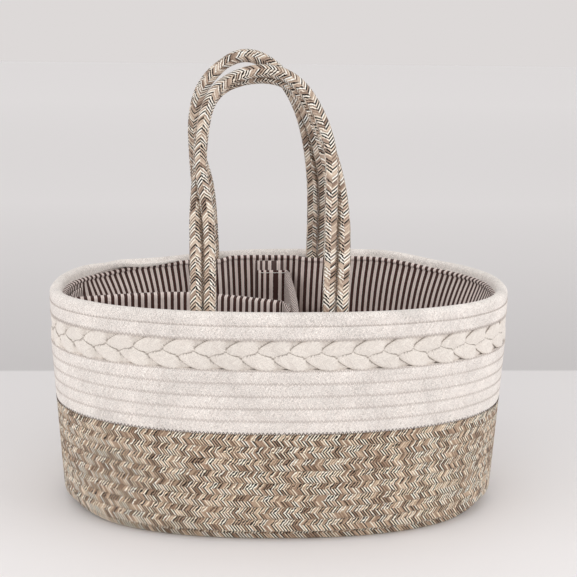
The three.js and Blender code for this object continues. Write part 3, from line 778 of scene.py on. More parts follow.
def braided_rope(
    name, stops, yarn, columns, slant, depth, groove, jitter, chance, speckle, calm=0.0, crease=1.0
):
    """Braided cotton rope: each yarn takes one of the colours, and the lines between yarns are darkened by a
    painted shade.

    calm is how much the yarns look alike in patches, speckle how much loose fibres show, and crease how dark
    the painted shade is along the lines where the strand meets its neighbours."""
    material, tree, shader = new_material(name, roughness=0.92, sheen=0.15)
    uv = add(tree, "UVMap", uv_map="UVMap").outputs["UV"]
    braid = grouped(tree, BRAID, {
        "UV": uv, "Yarn": yarn * MM, "Columns": columns, "Slant": slant, "Jitter": jitter, "Chance": chance,
    })
    fuzz = grouped(tree, FUZZ, {"Scale": ROPE_FUZZ})
    picked = plus(tree, braid["Yarn"], times(tree, braid["Twist"], TWIST_SHADE))
    plain = times(tree, minus(tree, 0.5, picked), times(tree, braid["Patch"], calm))
    colour = ramp(tree, plus(tree, picked, plain), stops)
    # Painted shade in the lines between yarns: the colour darkens down to groove where a yarn's roundness
    # falls off
    between = ramp(tree, braid["Round"], [(0.0, (groove, groove, groove, 1)), (UNSHADED_ROUND, PLAIN_WHITE)])
    colour = mixed(tree, 1.0, colour, between, "MULTIPLY")
    colour = shaded(tree, colour, plus(tree, ROPE_LEVEL, times(tree, fuzz["Shade"], speckle)))
    # Painted shade along the lines where a plait strand meets its neighbours, from the Crease attribute
    if crease < 1:
        line = add(tree, "Attribute", attribute_name="Crease").outputs["Fac"]
        dark = tuple(crease * tint for tint in CREASE_SHADE_TINT) + (1.0,)
        lines = ramp(tree, line, [(0.0, PLAIN_WHITE), (1.0, dark)])
        colour = mixed(tree, 1.0, colour, lines, "MULTIPLY")
    height = plus(tree, braid["Round"], times(tree, fuzz["Height"], FIBRE_HEIGHT))
    dress(tree, shader, colour, height, depth * MM)
    return material


def ticking_cloth(name, fade=0.0):
    """Striped cloth. fade hides the stripes under a pale fluff, as on loop tape sewn over the cloth."""
    material, tree, shader = new_material(name, roughness=0.95, sheen=0.1)
    uv = add(tree, "UVMap", uv_map="UVMap").outputs["UV"]
    stripes = grouped(tree, TICKING, {"UV": uv, "Stripe": STRIPE * MM})
    fuzz = grouped(tree, FUZZ, {"Scale": CLOTH_FUZZ})
    colour = mixed(tree, stripes["Line"], PALE_STRIPE, STRIPE_LINE)
    colour = mixed(tree, stripes["Dark"], colour, DARK_STRIPE)
    if fade:
        colour = mixed(tree, times(tree, fuzz["Height"], 2 * fade), colour, FLUFF)
    colour = shaded(tree, colour, plus(tree, CLOTH_LEVEL, times(tree, fuzz["Shade"], CLOTH_SHADE)))
    height = plus(tree, times(tree, stripes["Weave"], 0.5), fuzz["Height"])
    dress(tree, shader, colour, height, CLOTH_DEPTH * MM)
    return material


def plain_textile(name, colour, spread, scale=THREAD_FUZZ, depth=THREAD_DEPTH):
    """One colour of thread, tape or card, with uneven fibres."""
    material, tree, shader = new_material(name, roughness=0.9, sheen=0.05)
    fuzz = grouped(tree, FUZZ, {"Scale": scale})
    darker = tuple(channel * (1 - spread) for channel in colour[:3]) + (1.0,)
    shown = mixed(tree, fuzz["Height"], darker, colour)
    dress(tree, shader, shown, fuzz["Height"], depth * MM)
    return material


white_rope = braided_rope(
    "white_braided_rope",
    colour_stops((0.0, 220, 211, 204), (0.25, 231, 223, 217), (0.7, 236, 229, 223), (1.0, 242, 236, 230)),
    yarn=0.8, columns=4.0, slant=-3.4, depth=0.06, groove=0.93, jitter=2.0, chance=0.6, speckle=1.5,
)
plait_rope = braided_rope(
    "white_plaited_rope",
    colour_stops((0.0, 223, 214, 206), (0.4, 232, 224, 216), (1.0, 241, 234, 226)),
    yarn=0.9, columns=4.0, slant=4.6, depth=0.05, groove=0.95, jitter=2.0, chance=0.6, speckle=0.7,
    crease=0.36,
)
brown_rope = braided_rope(
    "brown_heather_rope",
    colour_stops(
        (0.0, 10, 4, 2), (0.26, 34, 20, 13), (0.38, 118, 91, 72), (0.5, 180, 151, 127), (0.6, 215, 190, 163),
        (0.72, 252, 237, 213), (1.0, 255, 252, 240),
    ),
    yarn=1.15, columns=4.0, slant=-3.2, depth=0.2, groove=0.73, jitter=1.4, chance=0.15, speckle=0.8,
    calm=0.05,
)
handle_rope = braided_rope(
    "brown_handle_rope",
    colour_stops(
        (0.0, 12, 6, 4), (0.26, 42, 28, 22), (0.38, 131, 107, 91), (0.5, 191, 167, 148), (0.6, 224, 204, 183),
        (0.72, 254, 243, 227), (1.0, 255, 253, 246),
    ),
    yarn=1.35, columns=3.0, slant=3.2, depth=0.22, groove=0.86, jitter=1.2, chance=0.2, speckle=0.6,
    calm=0.12,
)
ticking = ticking_cloth("ticking")
loop_tape = ticking_cloth("loop_tape", 0.06)
hook_tape = plain_textile("hook_tape", from_srgb(206, 200, 194), 0.35, 1100.0, 0.5)
# The white thread is darker than the white rope: partly its own off-white, partly a painted shade of the
# grooves it lies in
white_thread = plain_textile("white_thread", from_srgb(216, 207, 201), 0.2)
brown_thread = plain_textile("brown_thread", from_srgb(150, 124, 102), 0.4, 900.0)
dark_thread = plain_textile("dark_thread", from_srgb(70, 52, 44), 0.3)
seam_thread = plain_textile("seam_thread", from_srgb(236, 230, 225), 0.1)
card = plain_textile("board_card", from_srgb(185, 169, 140), 0.2, 900.0)


def settle(piece, body, material, nodes=()):
    """Give a piece its finish and its body, and let it stand for its solids."""
    piece.data.materials.clear()
    piece.data.materials.append(material)
    if body:
        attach(piece, body)
    if nodes:
        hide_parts(*nodes)


# Coils of the wall, base and rim. A kind of wall rope is its section, its finish and its slot.

BROWN = (BROWN_PRESSED, brown_rope, "brown_rope")
WHITE = (WHITE_PRESSED, white_rope, "white_rope")


def wall_course(index, first_level):
    level = first_level + turns_at(index)
    place = CLIMB_END + STEPS - index
    return place, course_inset(level), course_z(level)


def indexes(first, last):
    return np.linspace(first, last, round((last - first) * SAMPLES) + 1)


def wall_rope(stem, place, inset, z, height, seed, kind, crown=0.0):
    """A rope laid round the wall. height is that of the rope at each place, as a share."""
    (square, share), material, slot = kind
    x, y, out_x, out_y = oval(place, inset)
    path = np.column_stack([x, y, z])
    wander = unevenness(lengths_along(path), seed)
    path[:, 2] += WANDER_UP * wander + lift(place, z) + rise(place, z)
    facing = np.column_stack([out_x, out_y, np.full_like(x, -FACE_DOWN)])
    width = LEAST_WIDTH + (1 - LEAST_WIDTH) * height + WANDER_WIDTH * wander
    scale = np.column_stack([width, height])
    thick = share * COURSE_PITCH
    piece = rope(f"{stem}_rope", path, facing, ROPE, thick, WALL_STEP, WALL_SIDES, scale, square, crown)
    settle(piece, "basket", material, [f"{stem}_coil"])


def lower_wall():
    """The rope of the lower wall starts as thick as the base, and swells to a course as it climbs."""
    index = indexes(-CLIMB_STEPS - END_LAP, BROWN_COURSES * STEPS + END_LAP)
    _, inset, z = wall_course(np.maximum(index, -CLIMB_STEPS), 1)
    place = CLIMB_END + STEPS - index
    climb = smooth(index, -CLIMB_STEPS, 0)
    thick = (COURSE_HEIGHT - rise(place, z)) / (BROWN_PRESSED[1] * COURSE_PITCH)
    height = thick + (1 - thick) * climb
    z = z - (1 - climb) * rise(place, z) / 2
    wall_rope("lower_wall", place, inset, z, height, 1, BROWN)
    place, _, z = wall_course(indexes(STEPS, BROWN_COURSES * STEPS), 1)
    zigzag("lower_wall_sewing", place, z - COURSE_PITCH / 2, brown_thread)


def upper_wall():
    index = indexes(-END_LAP, WHITE_COURSES * STEPS - CLIMB_STEPS)
    place, _, z = wall_course(index, BROWN_COURSES + 1)
    share = np.linspace(0, TAPER, CLIMB_STEPS * SAMPLES)[1:]
    height = np.concatenate([np.ones_like(z), 1 - share])
    below = z - COURSE_PITCH / 2
    first = index <= STEPS
    zigzag("colour_change_sewing", place[first], below[first], dark_thread, WHITE_SEWING_PROUD)
    zigzag("upper_wall_sewing", place[~first], below[~first], white_thread, WHITE_SEWING_PROUD)
    place = np.concatenate([place, place[-1] - CLIMB_STEPS * share])
    z = np.concatenate([z, WHITE_TOP + COURSE_GAP / 2 - (1 - share) * COURSE_PITCH / 2])
    wall_rope("upper_wall", place, lean_inset(z), z, height, 2, WHITE)


def rim():
    """The rim's rope starts thin under its own first step, and its end is tucked inside the top course."""
    index = indexes(0, RIM_COURSES * STEPS - CLIMB_STEPS)
    place, _, z = wall_course(index, 0)
    z = z + RIM_BOTTOM
    second = index > STEPS - CLIMB_STEPS
    groove = z[second] - COURSE_PITCH / 2
    zigzag("rim_sewing", place[second], groove, white_thread, WHITE_SEWING_PROUD)
    start = np.linspace(1 - TAPER, 1, CLIMB_STEPS * SAMPLES)[:-1]
    end = np.linspace(0, RIM_TAIL, RIM_TAIL_SAMPLES + 1)[1:]
    tuck = smooth(end, *TUCK_RAMP)
    thin = 1 - TUCK_THINS * tuck - POINT_THINS * smooth(end, *POINT_RAMP)
    height = np.concatenate([start, np.ones_like(z), thin])
    inset = np.concatenate([np.zeros_like(start), np.zeros_like(z), TUCK_INWARD * tuck])
    place = np.concatenate([place[0] + CLIMB_STEPS * (1 - start), place, place[-1] - end])
    low = RIM_BOTTOM - COURSE_GAP / 2 + start * COURSE_PITCH / 2
    high = RIM_TOP + COURSE_GAP / 2 - thin * COURSE_PITCH / 2 - SINK * smooth(end, *SINK_RAMP)
    z = np.concatenate([low, z, high])
    top = smooth(index, STEPS - CLIMB_STEPS, STEPS)
    crown = np.concatenate([np.zeros_like(start), top, np.ones_like(end)])
    wall_rope("rim", place, inset, z, height, 3, WHITE, crown)


def base():
    """The base's rope lies in a flat spiral. At the ends of the oval only its underside stands up."""
    last = BASE_TURNS * STEPS - CLIMB_STEPS
    index = indexes(BASE_START, last + END_LAP)
    place = CLIMB_END + STEPS - index
    share = (turns_at(np.minimum(index, last)) + 0.5) / (BASE_TURNS - 0.5)
    x, y, _, _ = oval(place, course_inset(0))
    side = np.interp(np.mod(place, STEPS), *BASE_ENDS)
    x = side * BASE_FOLD + (x - side * BASE_FOLD) * share
    y = y * share
    under = rise(place, COURSE_HEIGHT / 2) * smooth(share, 0.5, 1.0)
    path = np.column_stack([x, y, (COURSE_HEIGHT + under) / 2])
    scale = np.column_stack([1 - under / COURSE_HEIGHT, np.ones_like(under)])
    down = np.array([0.0, 0.0, -1.0])
    piece = rope("base_rope", path, down, COURSE_HEIGHT, BASE_WIDTH, scale=scale, square=BASE_PRESSED)
    settle(piece, "basket", brown_rope, ["base_coil"])


# Zigzag sewing that holds the courses together

def zigzag(name, place, z, material, proud=SEWING_PROUD):
    """A thread that goes to and fro over a groove of the wall."""
    x, y, _, _ = oval(place, lean_inset(z))
    lengths = lengths_along(np.column_stack([x, y, z]))
    count = 2 * round(lengths[-1] / STITCH)
    wanted = np.linspace(0, lengths[-1], count)
    place = np.interp(wanted, lengths, place)
    z = np.interp(wanted, lengths, z) + np.where(np.arange(count) % 2, STITCH_REACH, -STITCH_REACH)
    x, y, _, _ = oval(place, lean_inset(z) - proud)
    z = z + lift(place, z) + rise(place, z)
    piece = thread(name, np.column_stack([x, y, z]), THREAD, STITCH / 4)
    settle(piece, "basket", material)


# Plait

def strand_course(strand, turns):
    """Height and outward place of a strand of the plait, by the turns of its weave.

    The strand comes out slowly over two others and then dips more suddenly under the next one."""
    turn = TURN * (turns + strand / STRANDS)
    z = PLAIT_MIDDLE + SWING * np.tanh(STRAND_STAY * np.sin(turn)) / math.tanh(STRAND_STAY)
    twice = 2 * (turn - STRAND_LATE)
    over = np.arctan2(STRAND_SUDDEN * np.sin(twice), 1 + STRAND_SUDDEN * np.cos(twice))
    return z, STRAND_PROUD + STRAND_WEAVE * over


def strand_face(strand, turns, z, turn_length, beyond=None):
    """How far out a strand's face stands at a height. beyond stands in for it past the strand's edges."""
    middle, out = strand_course(strand, turns)
    ahead, _ = strand_course(strand, turns + TURN_AHEAD)
    slope = (ahead - middle) / (TURN_AHEAD * turn_length)
    across = np.abs(z - middle) / np.sqrt(1 + slope ** 2) / (STRAND_WIDTH / 2)
    rounding = np.clip(1 - across ** STRAND_SQUARE, 0, 1) ** (1 / STRAND_SQUARE)
    return np.where(across < 1, out + rounding * STRAND_DEPTH / 2, out if beyond is None else beyond)


def mark_creases(piece, strand, lengths, ring, outward):
    """Give a strand a Crease attribute of painted shade, 1 along the lines where it meets the other two."""
    flat = np.empty(3 * len(piece.data.vertices), np.float32)
    piece.data.vertices.foreach_get("co", flat)
    points = flat.reshape(-1, 3).astype(float) / MM
    nearest = np.concatenate([
        np.argmin(np.sum((part[:, None, :2] - ring[None]) ** 2, axis=2), axis=1)
        for part in np.array_split(points, CREASE_PARTS)
    ])
    tangent = unit(np.gradient(ring, axis=0))
    ahead = np.sum((points[:, :2] - ring[nearest]) * tangent[nearest], axis=1)
    turn_length = lengths[-1] / PLAIT_PERIODS
    turns = (lengths[nearest] + ahead) / turn_length
    place = CLIMB_END + CLIMB_STEPS / 2 + PLACES[nearest]
    z = points[:, 2] - lift(place, points[:, 2])
    out = np.sum((points[:, :2] - ring[nearest]) * outward[nearest], axis=1)

    def over(height):
        others = [
            strand_face(other % STRANDS, turns, height, turn_length, NO_STRAND)
            for other in (strand + 1, strand + 2)
        ]
        return strand_face(strand, turns, height, turn_length) - np.maximum(*others)

    change = np.abs(over(z + CREASE_REACH) - over(z - CREASE_REACH)) / (2 * CREASE_REACH)
    distance = np.abs(over(z)) / np.clip(change, CREASE_FLATTEST, CREASE_STEEPEST)
    crease = (1 - smooth(distance, CREASE_FULL, CREASE_WIDTH)) * (out > STRAND_PROUD - CREASE_BACK)
    layer = piece.data.attributes.new("Crease", "FLOAT", "POINT")
    layer.data.foreach_set("value", crease.astype(np.float32))


def plait():
    places = CLIMB_END + CLIMB_STEPS / 2 + PLACES
    x, y, out_x, out_y = oval(places, 0)
    ring = np.column_stack([x, y])
    outward = np.column_stack([out_x, out_y])
    lengths = lengths_along(ring)
    along = np.linspace(-STRAND_LAP, lengths[-1] + STRAND_LAP, PLAIT_PERIODS * PLAIT_SAMPLES + 1)
    laps = np.floor(along / lengths[-1])
    place = np.interp(along - laps * lengths[-1], lengths, places) + STEPS * laps
    for strand in range(STRANDS):
        z, out = strand_course(strand, PLAIT_PERIODS * along / lengths[-1])
        x, y, out_x, out_y = oval(place, lean_inset(PLAIT_MIDDLE) - out)
        path = np.column_stack([x, y, z + lift(place, z)])
        facing = np.column_stack([out_x, out_y, np.zeros_like(x)])
        piece = rope(
            f"plait_rope_{strand + 1}", path, facing, STRAND_DEPTH, STRAND_WIDTH, STRAND_STEP, STRAND_SIDES,
            square=STRAND_SQUARE,
        )
        mark_creases(piece, strand, lengths, ring, outward)
        settle(piece, "basket", plait_rope, [f"plait_strand_{strand + 1}"])
    for name, z in (("lower", WHITE_TOP + COURSE_GAP / 2), ("upper", RIM_BOTTOM - COURSE_GAP / 2)):
        zigzag(f"plait_{name}_sewing", places, np.full_like(places, z), white_thread)


# Handles

def smooth_route(points, count):
    """Even points along a Catmull-Rom curve through the points."""
    points = np.asarray(points, float)
    fine = []
    last = len(points) - 1
    share = np.linspace(0, 1, ROUTE_SAMPLES, endpoint=False)[:, None]
    for i in range(last):
        p0, p1, p2, p3 = (points[min(max(k, 0), last)] for k in (i - 1, i, i + 1, i + 2))
        v0 = (p2 - p0) / 2
        v1 = (p3 - p1) / 2
        fine.append(
            (2 * p1 - 2 * p2 + v0 + v1) * share ** 3
            + (3 * p2 - 3 * p1 - 2 * v0 - v1) * share ** 2 + v0 * share + p1
        )
    fine = np.vstack([*fine, points[-1:]])
    lengths = lengths_along(fine)
    return resampled(fine, lengths, np.linspace(0, lengths[-1], count))


def softened(path, reach):
    """A path with its kinks rounded over a few points."""
    padded = np.vstack([np.repeat(path[:1], reach, 0), path, np.repeat(path[-1:], reach, 0)])
    weights = rounding_weights(reach)
    return np.column_stack([np.convolve(column, weights, mode="valid") for column in padded.T])


def leg_point(side, x, z):
    place = place_of_x(side, x, TAIL_INSET)
    return [float(value) for value in oval(place, TAIL_INSET + lean_inset(z))[:2]] + [z]


def handle(name, side, lean, turns, route):
    left, right = (np.array(leg_point(side, x, LEAN_TOP)[:2]) for x in LEG_XS)
    half_span = np.linalg.norm(right - left) / 2
    flat_along = (right - left) / (2 * half_span)
    along = np.array([*flat_along, 0])
    out = np.array([-flat_along[1], flat_along[0], 0]) * side
    up = np.array([0, 0, math.cos(lean)]) - out * math.sin(lean)
    outside = np.array([0, 0, math.sin(lean)]) + out * math.cos(lean)
    middle = np.array([*(left + right) / 2, LEG_BASE])
    flat = smooth_route(np.array(route) * [half_span, HANDLE_HEIGHT], LOOP_POINTS)
    tangent = unit(np.gradient(flat, axis=0))
    loop_out = -tangent[:, 1:] * along + tangent[:, :1] * up
    is_left = flat[:, 0] < 0
    twist = np.where(is_left, smooth(flat[:, 1], *LEFT_TWIST), smooth(flat[:, 1], *RIGHT_TWIST))
    arch_x = flat[np.argmax(flat[:, 1]), 0]
    over = smooth(flat[:, 0] - arch_x, *OVER_RAMP)
    twist = ((turns[0] + (turns[1] - turns[0]) * over) * twist)[:, None]
    apart = loop_out * np.cos(twist) - outside * np.sin(twist)
    centre = middle + flat[:, :1] * along + flat[:, 1:] * up
    pair = []
    tails = np.linspace(TAIL_BOTTOM, TAIL_TOP, TAIL_POINTS)
    for rope_name, sign in (("outer", 1), ("inner", -1)):
        loop = centre + sign * apart * PAIR_SPACING / 2
        down_left = [leg_point(side, LEG_XS[0] - sign * PAIR_SPACING / 2, z) for z in tails]
        down_right = [leg_point(side, LEG_XS[1] + sign * PAIR_SPACING / 2, z) for z in tails[::-1]]
        path = softened(np.vstack([down_left, loop[LOOP_TRIM:-LOOP_TRIM], down_right]), SOFT_REACH)
        piece = rope(f"{name}_handle_{rope_name}", path, outside, ROPE, ROPE, HANDLE_STEP, HANDLE_SIDES)
        nodes = [f"{name}_handle_{rope_name}_rope"]
        nodes += [f"{name}_{leg}_{rope_name}_tail" for leg in ("left", "right")]
        settle(piece, None, handle_rope, nodes)
        pair.append(piece)
    lengths = lengths_along(centre)
    count = round(lengths[-1] / SEAM_STITCH)
    wanted = np.linspace(lengths[SEAM_TRIM], lengths[-1 - SEAM_TRIM], count)
    seam = resampled(centre, lengths, wanted)
    sideways = unit(resampled(apart, lengths, wanted))
    face = np.cross(unit(np.gradient(seam, axis=0)), sideways)
    to_and_fro = np.where(np.arange(count) % 2, SEAM_REACH, -SEAM_REACH)[:, None]
    rows = []
    for which in (1, -1):
        path = seam + which * face * SEAM_OUT + to_and_fro * sideways
        rows.append(thread(f"{name}_seam_{which}", path, SEAM_THREAD, SEAM_STEP))
    sewing = join(rows, f"{name}_handle_sewing")
    settle(sewing, None, brown_thread)
    for piece in (*pair, sewing):
        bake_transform(piece)


# Lining

# Depths of its rows below the top edge, and how far the hem's rows stand in
HEM = [
    (0.0, -2.2), (0.2, -0.6), (0.6, 0.8), (1.3, 1.4), (2.0, 1.1), (2.5, 0.1), (2.9, -0.5), (3.4, 0.0),
    (4.2, 0.2),
]
ROW_DEPTHS = (7, 11, 17, 23, 29, 35, 41, 47, 54, 63, 75, 90, 106, 122, 138, 150, 160, 164, 168)
LINING_ROWS = np.array([(depth, 0.0) for depth in reversed(ROW_DEPTHS)] + HEM[::-1])

# How far its top edge stands below level
LINING_DROP = profile([
    (0, 3.4), (3.4, 3.2), (5.8, 2.6), (6.4, 0.6), (7.0, 1.6), (8.4, 1.0), (9.0, 3.0), (9.8, 6.0), (11.2, 4.6),
    (12.2, 3.0), (24, 3.4),
])


def tail_bulge(x, y):
    """How far the lining stands in over the handle tails."""
    nearest = np.min([np.abs(x - leg) for leg in LEG_XS], axis=0)
    return TAIL_COVER * (1 - smooth(nearest, *TAIL_COVER_RAMP)) * (np.abs(y) > RIM_HALF_WIDTH / 2)


# How far the lining hangs loose of the wall at the ends of the oval
LOOSE = profile([
    (0, 4), (1.8, 6), (3.6, 5), (4.7, 2), (5.1, 0), (7.4, 0), (8.4, 8), (9.4, 11), (10.3, 8), (10.8, 0),
    (12.4, 0), (13.6, 5), (15.5, 5), (17, 0), (19.5, 0), (21.5, 5), (24, 4),
])


def hang(z):
    """Share of its looseness that the lining has at a height."""
    depth = np.clip((LINING_TOP - HANG_TOP - z) / HANG_DEPTH, 0, 1)
    return (1 - (1 - depth) ** HANG_CURVE) * smooth(z, *HANG_RAMP)


def lining_point(place, z, inward=0.0):
    """Where the lining is. It stands in over the handle tails and hangs loose at the ends."""
    around = np.mod(place, STEPS)
    x, y, _, _ = oval(place, LINING_INSET)
    covered = smooth(z, TAIL_BOTTOM - TAIL_COVER_START, TAIL_BOTTOM - TAIL_COVER_FULL)
    over_tails = covered * tail_bulge(x, y)
    fold = FOLDS[0] * np.sin(around * FOLD_WAVES[0] + FOLD_START)
    fold = fold + FOLDS[1] * np.sin(around * FOLD_WAVES[1] + z * FOLD_SLANT)
    at_flap = smooth(around, *HELD_FROM) * (1 - smooth(around, *HELD_TO))
    loose = hang(z) * (1 - at_flap)
    ease = loose * (look_up(LOOSE, place) + fold)
    x, y, _, _ = oval(place, LINING_INSET + inward + inner_inset(z) + over_tails + ease)
    return x * (1 - LINING_NARROWS * loose), y


def lining_length():
    place = PLACES + CLIMB_END
    x, y, _, _ = oval(place, LINING_INSET)
    lengths = lengths_along(np.column_stack([x, y]))
    return place, lengths, round(lengths[-1] / STRIPE) * STRIPE / lengths[-1]


def lining():
    places, lengths, stretch = lining_length()
    rows = LINING_ROWS

    def laid(u, v):
        place = np.interp(u * lengths[-1], lengths, places)
        row = np.rint(v * (len(rows) - 1)).astype(int)
        z = LINING_TOP - rows[row, 0]
        x, y = lining_point(place, z, rows[row, 1])
        drop = look_up(LINING_DROP, place) * smooth(z, LINING_TOP - DROP_DEPTH, LINING_TOP)
        return x, y, z + lift(place, z) - drop

    height = rows[0, 0] - rows[-1, 0]
    size = (lengths[-1] * stretch * MM, height * MM)
    wall = shaped_grid("lining_wall_cloth", LINING_CELLS, len(rows) - 1, laid, size)
    face_out(wall, rolled=True)
    thicken(wall, CLOTH, 1.0)
    settle(wall, "basket", ticking, ["lining_wall"])
    edge = LINING_INSET + float(inner_inset(LINING_BOTTOM)) + FLOOR_GAP

    def spread(u, v):
        x, y, _, _ = oval(u * STEPS, edge)
        wave = np.sin(x * v * RIPPLE_WAVES[0] + 1) * np.sin(y * v * RIPPLE_WAVES[1])
        return x * v, y * v, LINING_BOTTOM + FLOOR_UP + RIPPLE * wave * (1 - v ** 4)

    bottom = shaped_grid("lining_floor_cloth", *FLOOR_CELLS, spread)
    lay_flat_uv(bottom)
    face_out(bottom, rolled=True)
    thicken(bottom, FLOOR_CLOTH, -1.0)
    settle(bottom, "basket", ticking, ["lining_floor"])


def lay_flat_uv(piece):
    """A UV map that is the plan of the piece, in metres."""
    layer = piece.data.uv_layers.active.data
    for loop, corner in zip(piece.data.loops, layer):
        corner.uv = piece.data.vertices[loop.vertex_index].co.xy


# Dividers and tape

LOOP = (LOOP_INSET, LOOP_THICK, loop_tape)
HOOK = (HOOK_INSET, HOOK_THICK, hook_tape)


def cloth_on_wall(name, places, heights, inset, cells, thickness, edge=0.0):
    """A strip of cloth that follows the wall between two places, its edges turned in a little."""
    start, stop = places
    bottom, top = heights
    lining_places, lining_lengths, stretch = lining_length()

    def laid(u, v):
        place = start + (stop - start) * u
        z = bottom + (top - bottom) * v
        sides = np.exp(-u / EDGE_SIDE) + np.exp(-(1 - u) / EDGE_SIDE)
        turned = edge * (sides + np.exp(-(1 - v) / EDGE_TOP))
        x, y, _, _ = oval(place, inset + inner_inset(z) - turned)
        return x, y, z

    piece = shaped_grid(name, *cells, laid)
    shifted = np.mod(np.array([start, stop]) - CLIMB_END, STEPS) + CLIMB_END
    first, last = np.interp(shifted, lining_places, lining_lengths) * stretch * MM
    for corner in piece.data.uv_layers.active.data:
        u, v = corner.uv
        corner.uv = (first + (last - first) * u, (bottom + (top - bottom) * v) * MM)
    thicken(piece, thickness)
    face_out(piece)
    return piece


def wall_tape(stem, places, top, columns, kind, body):
    """A strip of tape on the wall. A kind of tape is its inset, its thickness and its finish."""
    inset, thickness, material = kind
    cells = (columns, TAPE_CELLS)
    piece = cloth_on_wall(f"{stem}_strip", places, (TAPE_BOTTOM, top), inset, cells, thickness)
    settle(piece, body, material, [f"{stem}_tape"])


def wall_flap(stem, places, columns, body):
    """A flap of a divider that lies along the wall."""
    heights = (DIVIDER_BOTTOM, DIVIDER_TOP)
    cells = (columns, FLAP_CELLS)
    flap = cloth_on_wall(f"{stem}_cloth", places, heights, FLAP_INSET, cells, CLOTH, FLAP_EDGE)
    settle(flap, body, ticking, [stem])


def flat_tape(stem, x, first, last, body, material):
    """A strip of tape that lies along the cross divider."""
    height = TAPE_TOP - TAPE_BOTTOM

    def laid(u, v):
        return np.full_like(u, x), first + (last - first) * u, TAPE_BOTTOM + height * v

    size = ((last - first) * MM, height * MM)
    piece = shaped_grid(f"{stem}_strip", *FLAT_TAPE_CELLS, laid, size)
    thicken(piece, HOOK_THICK)
    face_out(piece)
    settle(piece, body, material, [f"{stem}_tape"])


def running_stitch(name, path, normal):
    """A thread that goes over and under the cloth of the cross divider along a path."""
    lengths = lengths_along(path)
    wanted = np.arange(0, lengths[-1], RUN_STEP)
    line = resampled(path, lengths, wanted)
    normal = resampled(normal, lengths, wanted)
    wave = np.clip(RUN_SHARP * np.sin(TURN * wanted / RUN_STITCH), -1, 1)[:, None]
    piece = thread(name, line + normal * wave * RUN_RAISE, RUN_THREAD, RUN_STEP)
    settle(piece, "cross_divider", seam_thread)


def cross_end(z, side):
    """Where the cross divider's panel ends."""
    place = place_of_x(side, CROSS_X, PANEL_END)
    return float(oval(place, PANEL_END)[1]) - side * inner_inset(z)


def folded_section(v):
    """Outline of cloth folded over a board: up one face, round the top and down the other."""
    half = (PANEL - CLOTH) / 2
    face = DIVIDER_HEIGHT - half
    over = math.pi * half
    total = 2 * face + over
    s = np.asarray(v) * total
    first = s < face
    last = s > face + over
    angle = np.clip((s - face) / half, 0, math.pi)
    offset = np.where(first, -half, np.where(last, half, -half * np.cos(angle)))
    top = DIVIDER_TOP - CLOTH / 2 - half
    down = np.where(last, top - (s - face - over), top + half * np.sin(angle))
    z = np.where(first, DIVIDER_BOTTOM + s, down)
    return offset, np.maximum(z, DIVIDER_BOTTOM), total


def crowned(u, z):
    """How far a cover swells off the face of its board, from its edges to its middle."""
    share = np.clip((DIVIDER_TOP - z) / SWELL_DEPTH, 0, 1)
    return SWELL * np.sqrt(np.clip(4 * u * (1 - u), 0, 1)) * share


def cover(body, cells, laid, width):
    """The cloth folded over the board of a divider."""
    total = folded_section(0.0)[2]
    cloth = shaped_grid(f"{body}_cloth", cells, COVER_CELLS, laid, (width, total * MM))
    thicken(cloth, CLOTH)
    face_out(cloth)
    settle(cloth, body, ticking, [f"{body}_cover"])


def cross_divider():
    def laid(u, v):
        offset, z, _ = folded_section(v)
        x = CROSS_X + offset + np.sign(offset) * crowned(u, z)
        front = cross_end(z, FRONT) + FIT_GAP
        back = cross_end(z, BACK) - FIT_GAP
        y = front + (back - front) * u
        return x + BOW * np.sin(y * BOW_WAVE + BOW_START) * smooth(z, *BOW_RAMP), y, z

    cover("cross_divider", CROSS_CELLS, laid, width=0.22)
    for name, side in (("front", FRONT), ("back", BACK)):
        def between(left, right, inset):
            return [float(place_of_x(side, x, inset)) for x in (left, right)]

        loop = between(CROSS_FLAP_LEFT - TAPE_MARGIN, CROSS_LOOP_RIGHT, LOOP_PLAN_INSET)
        wall_tape(f"lining_{name}_loop", loop, LOOP_TOP, 12, LOOP, "basket")
        hook = between(CROSS_FLAP_LEFT + TAPE_MARGIN, CROSS_HOOK_RIGHT, HOOK_INSET)
        wall_tape(f"cross_divider_{name}_hook", hook, TAPE_TOP, 10, HOOK, "cross_divider")
        flap = between(CROSS_FLAP_LEFT, CROSS_FLAP_RIGHT, FLAP_INSET)
        wall_flap(f"cross_divider_{name}_flap", flap, columns=20, body="cross_divider")
        stitch_flap(name, flap)


def stitch_flap(name, places):
    """Running stitch round the free edges of a flap of the cross divider."""
    start, stop = places
    inside = start + (stop - start) * RUN_MARGIN / (CROSS_FLAP_RIGHT - CROSS_FLAP_LEFT)
    top = DIVIDER_TOP - RUN_MARGIN
    across = np.linspace(inside, stop, RUN_COLUMNS)[1:]
    place = np.concatenate([np.full(RUN_ROWS, inside), across])
    z = np.concatenate([np.linspace(DIVIDER_BOTTOM + RUN_BOTTOM, top, RUN_ROWS), np.full_like(across, top)])
    x, y, out_x, out_y = oval(place, RUN_INSET + inner_inset(z))
    normal = np.column_stack([-out_x, -out_y, np.zeros_like(x)])
    running_stitch(f"cross_divider_{name}_stitches", np.column_stack([x, y, z]), normal)


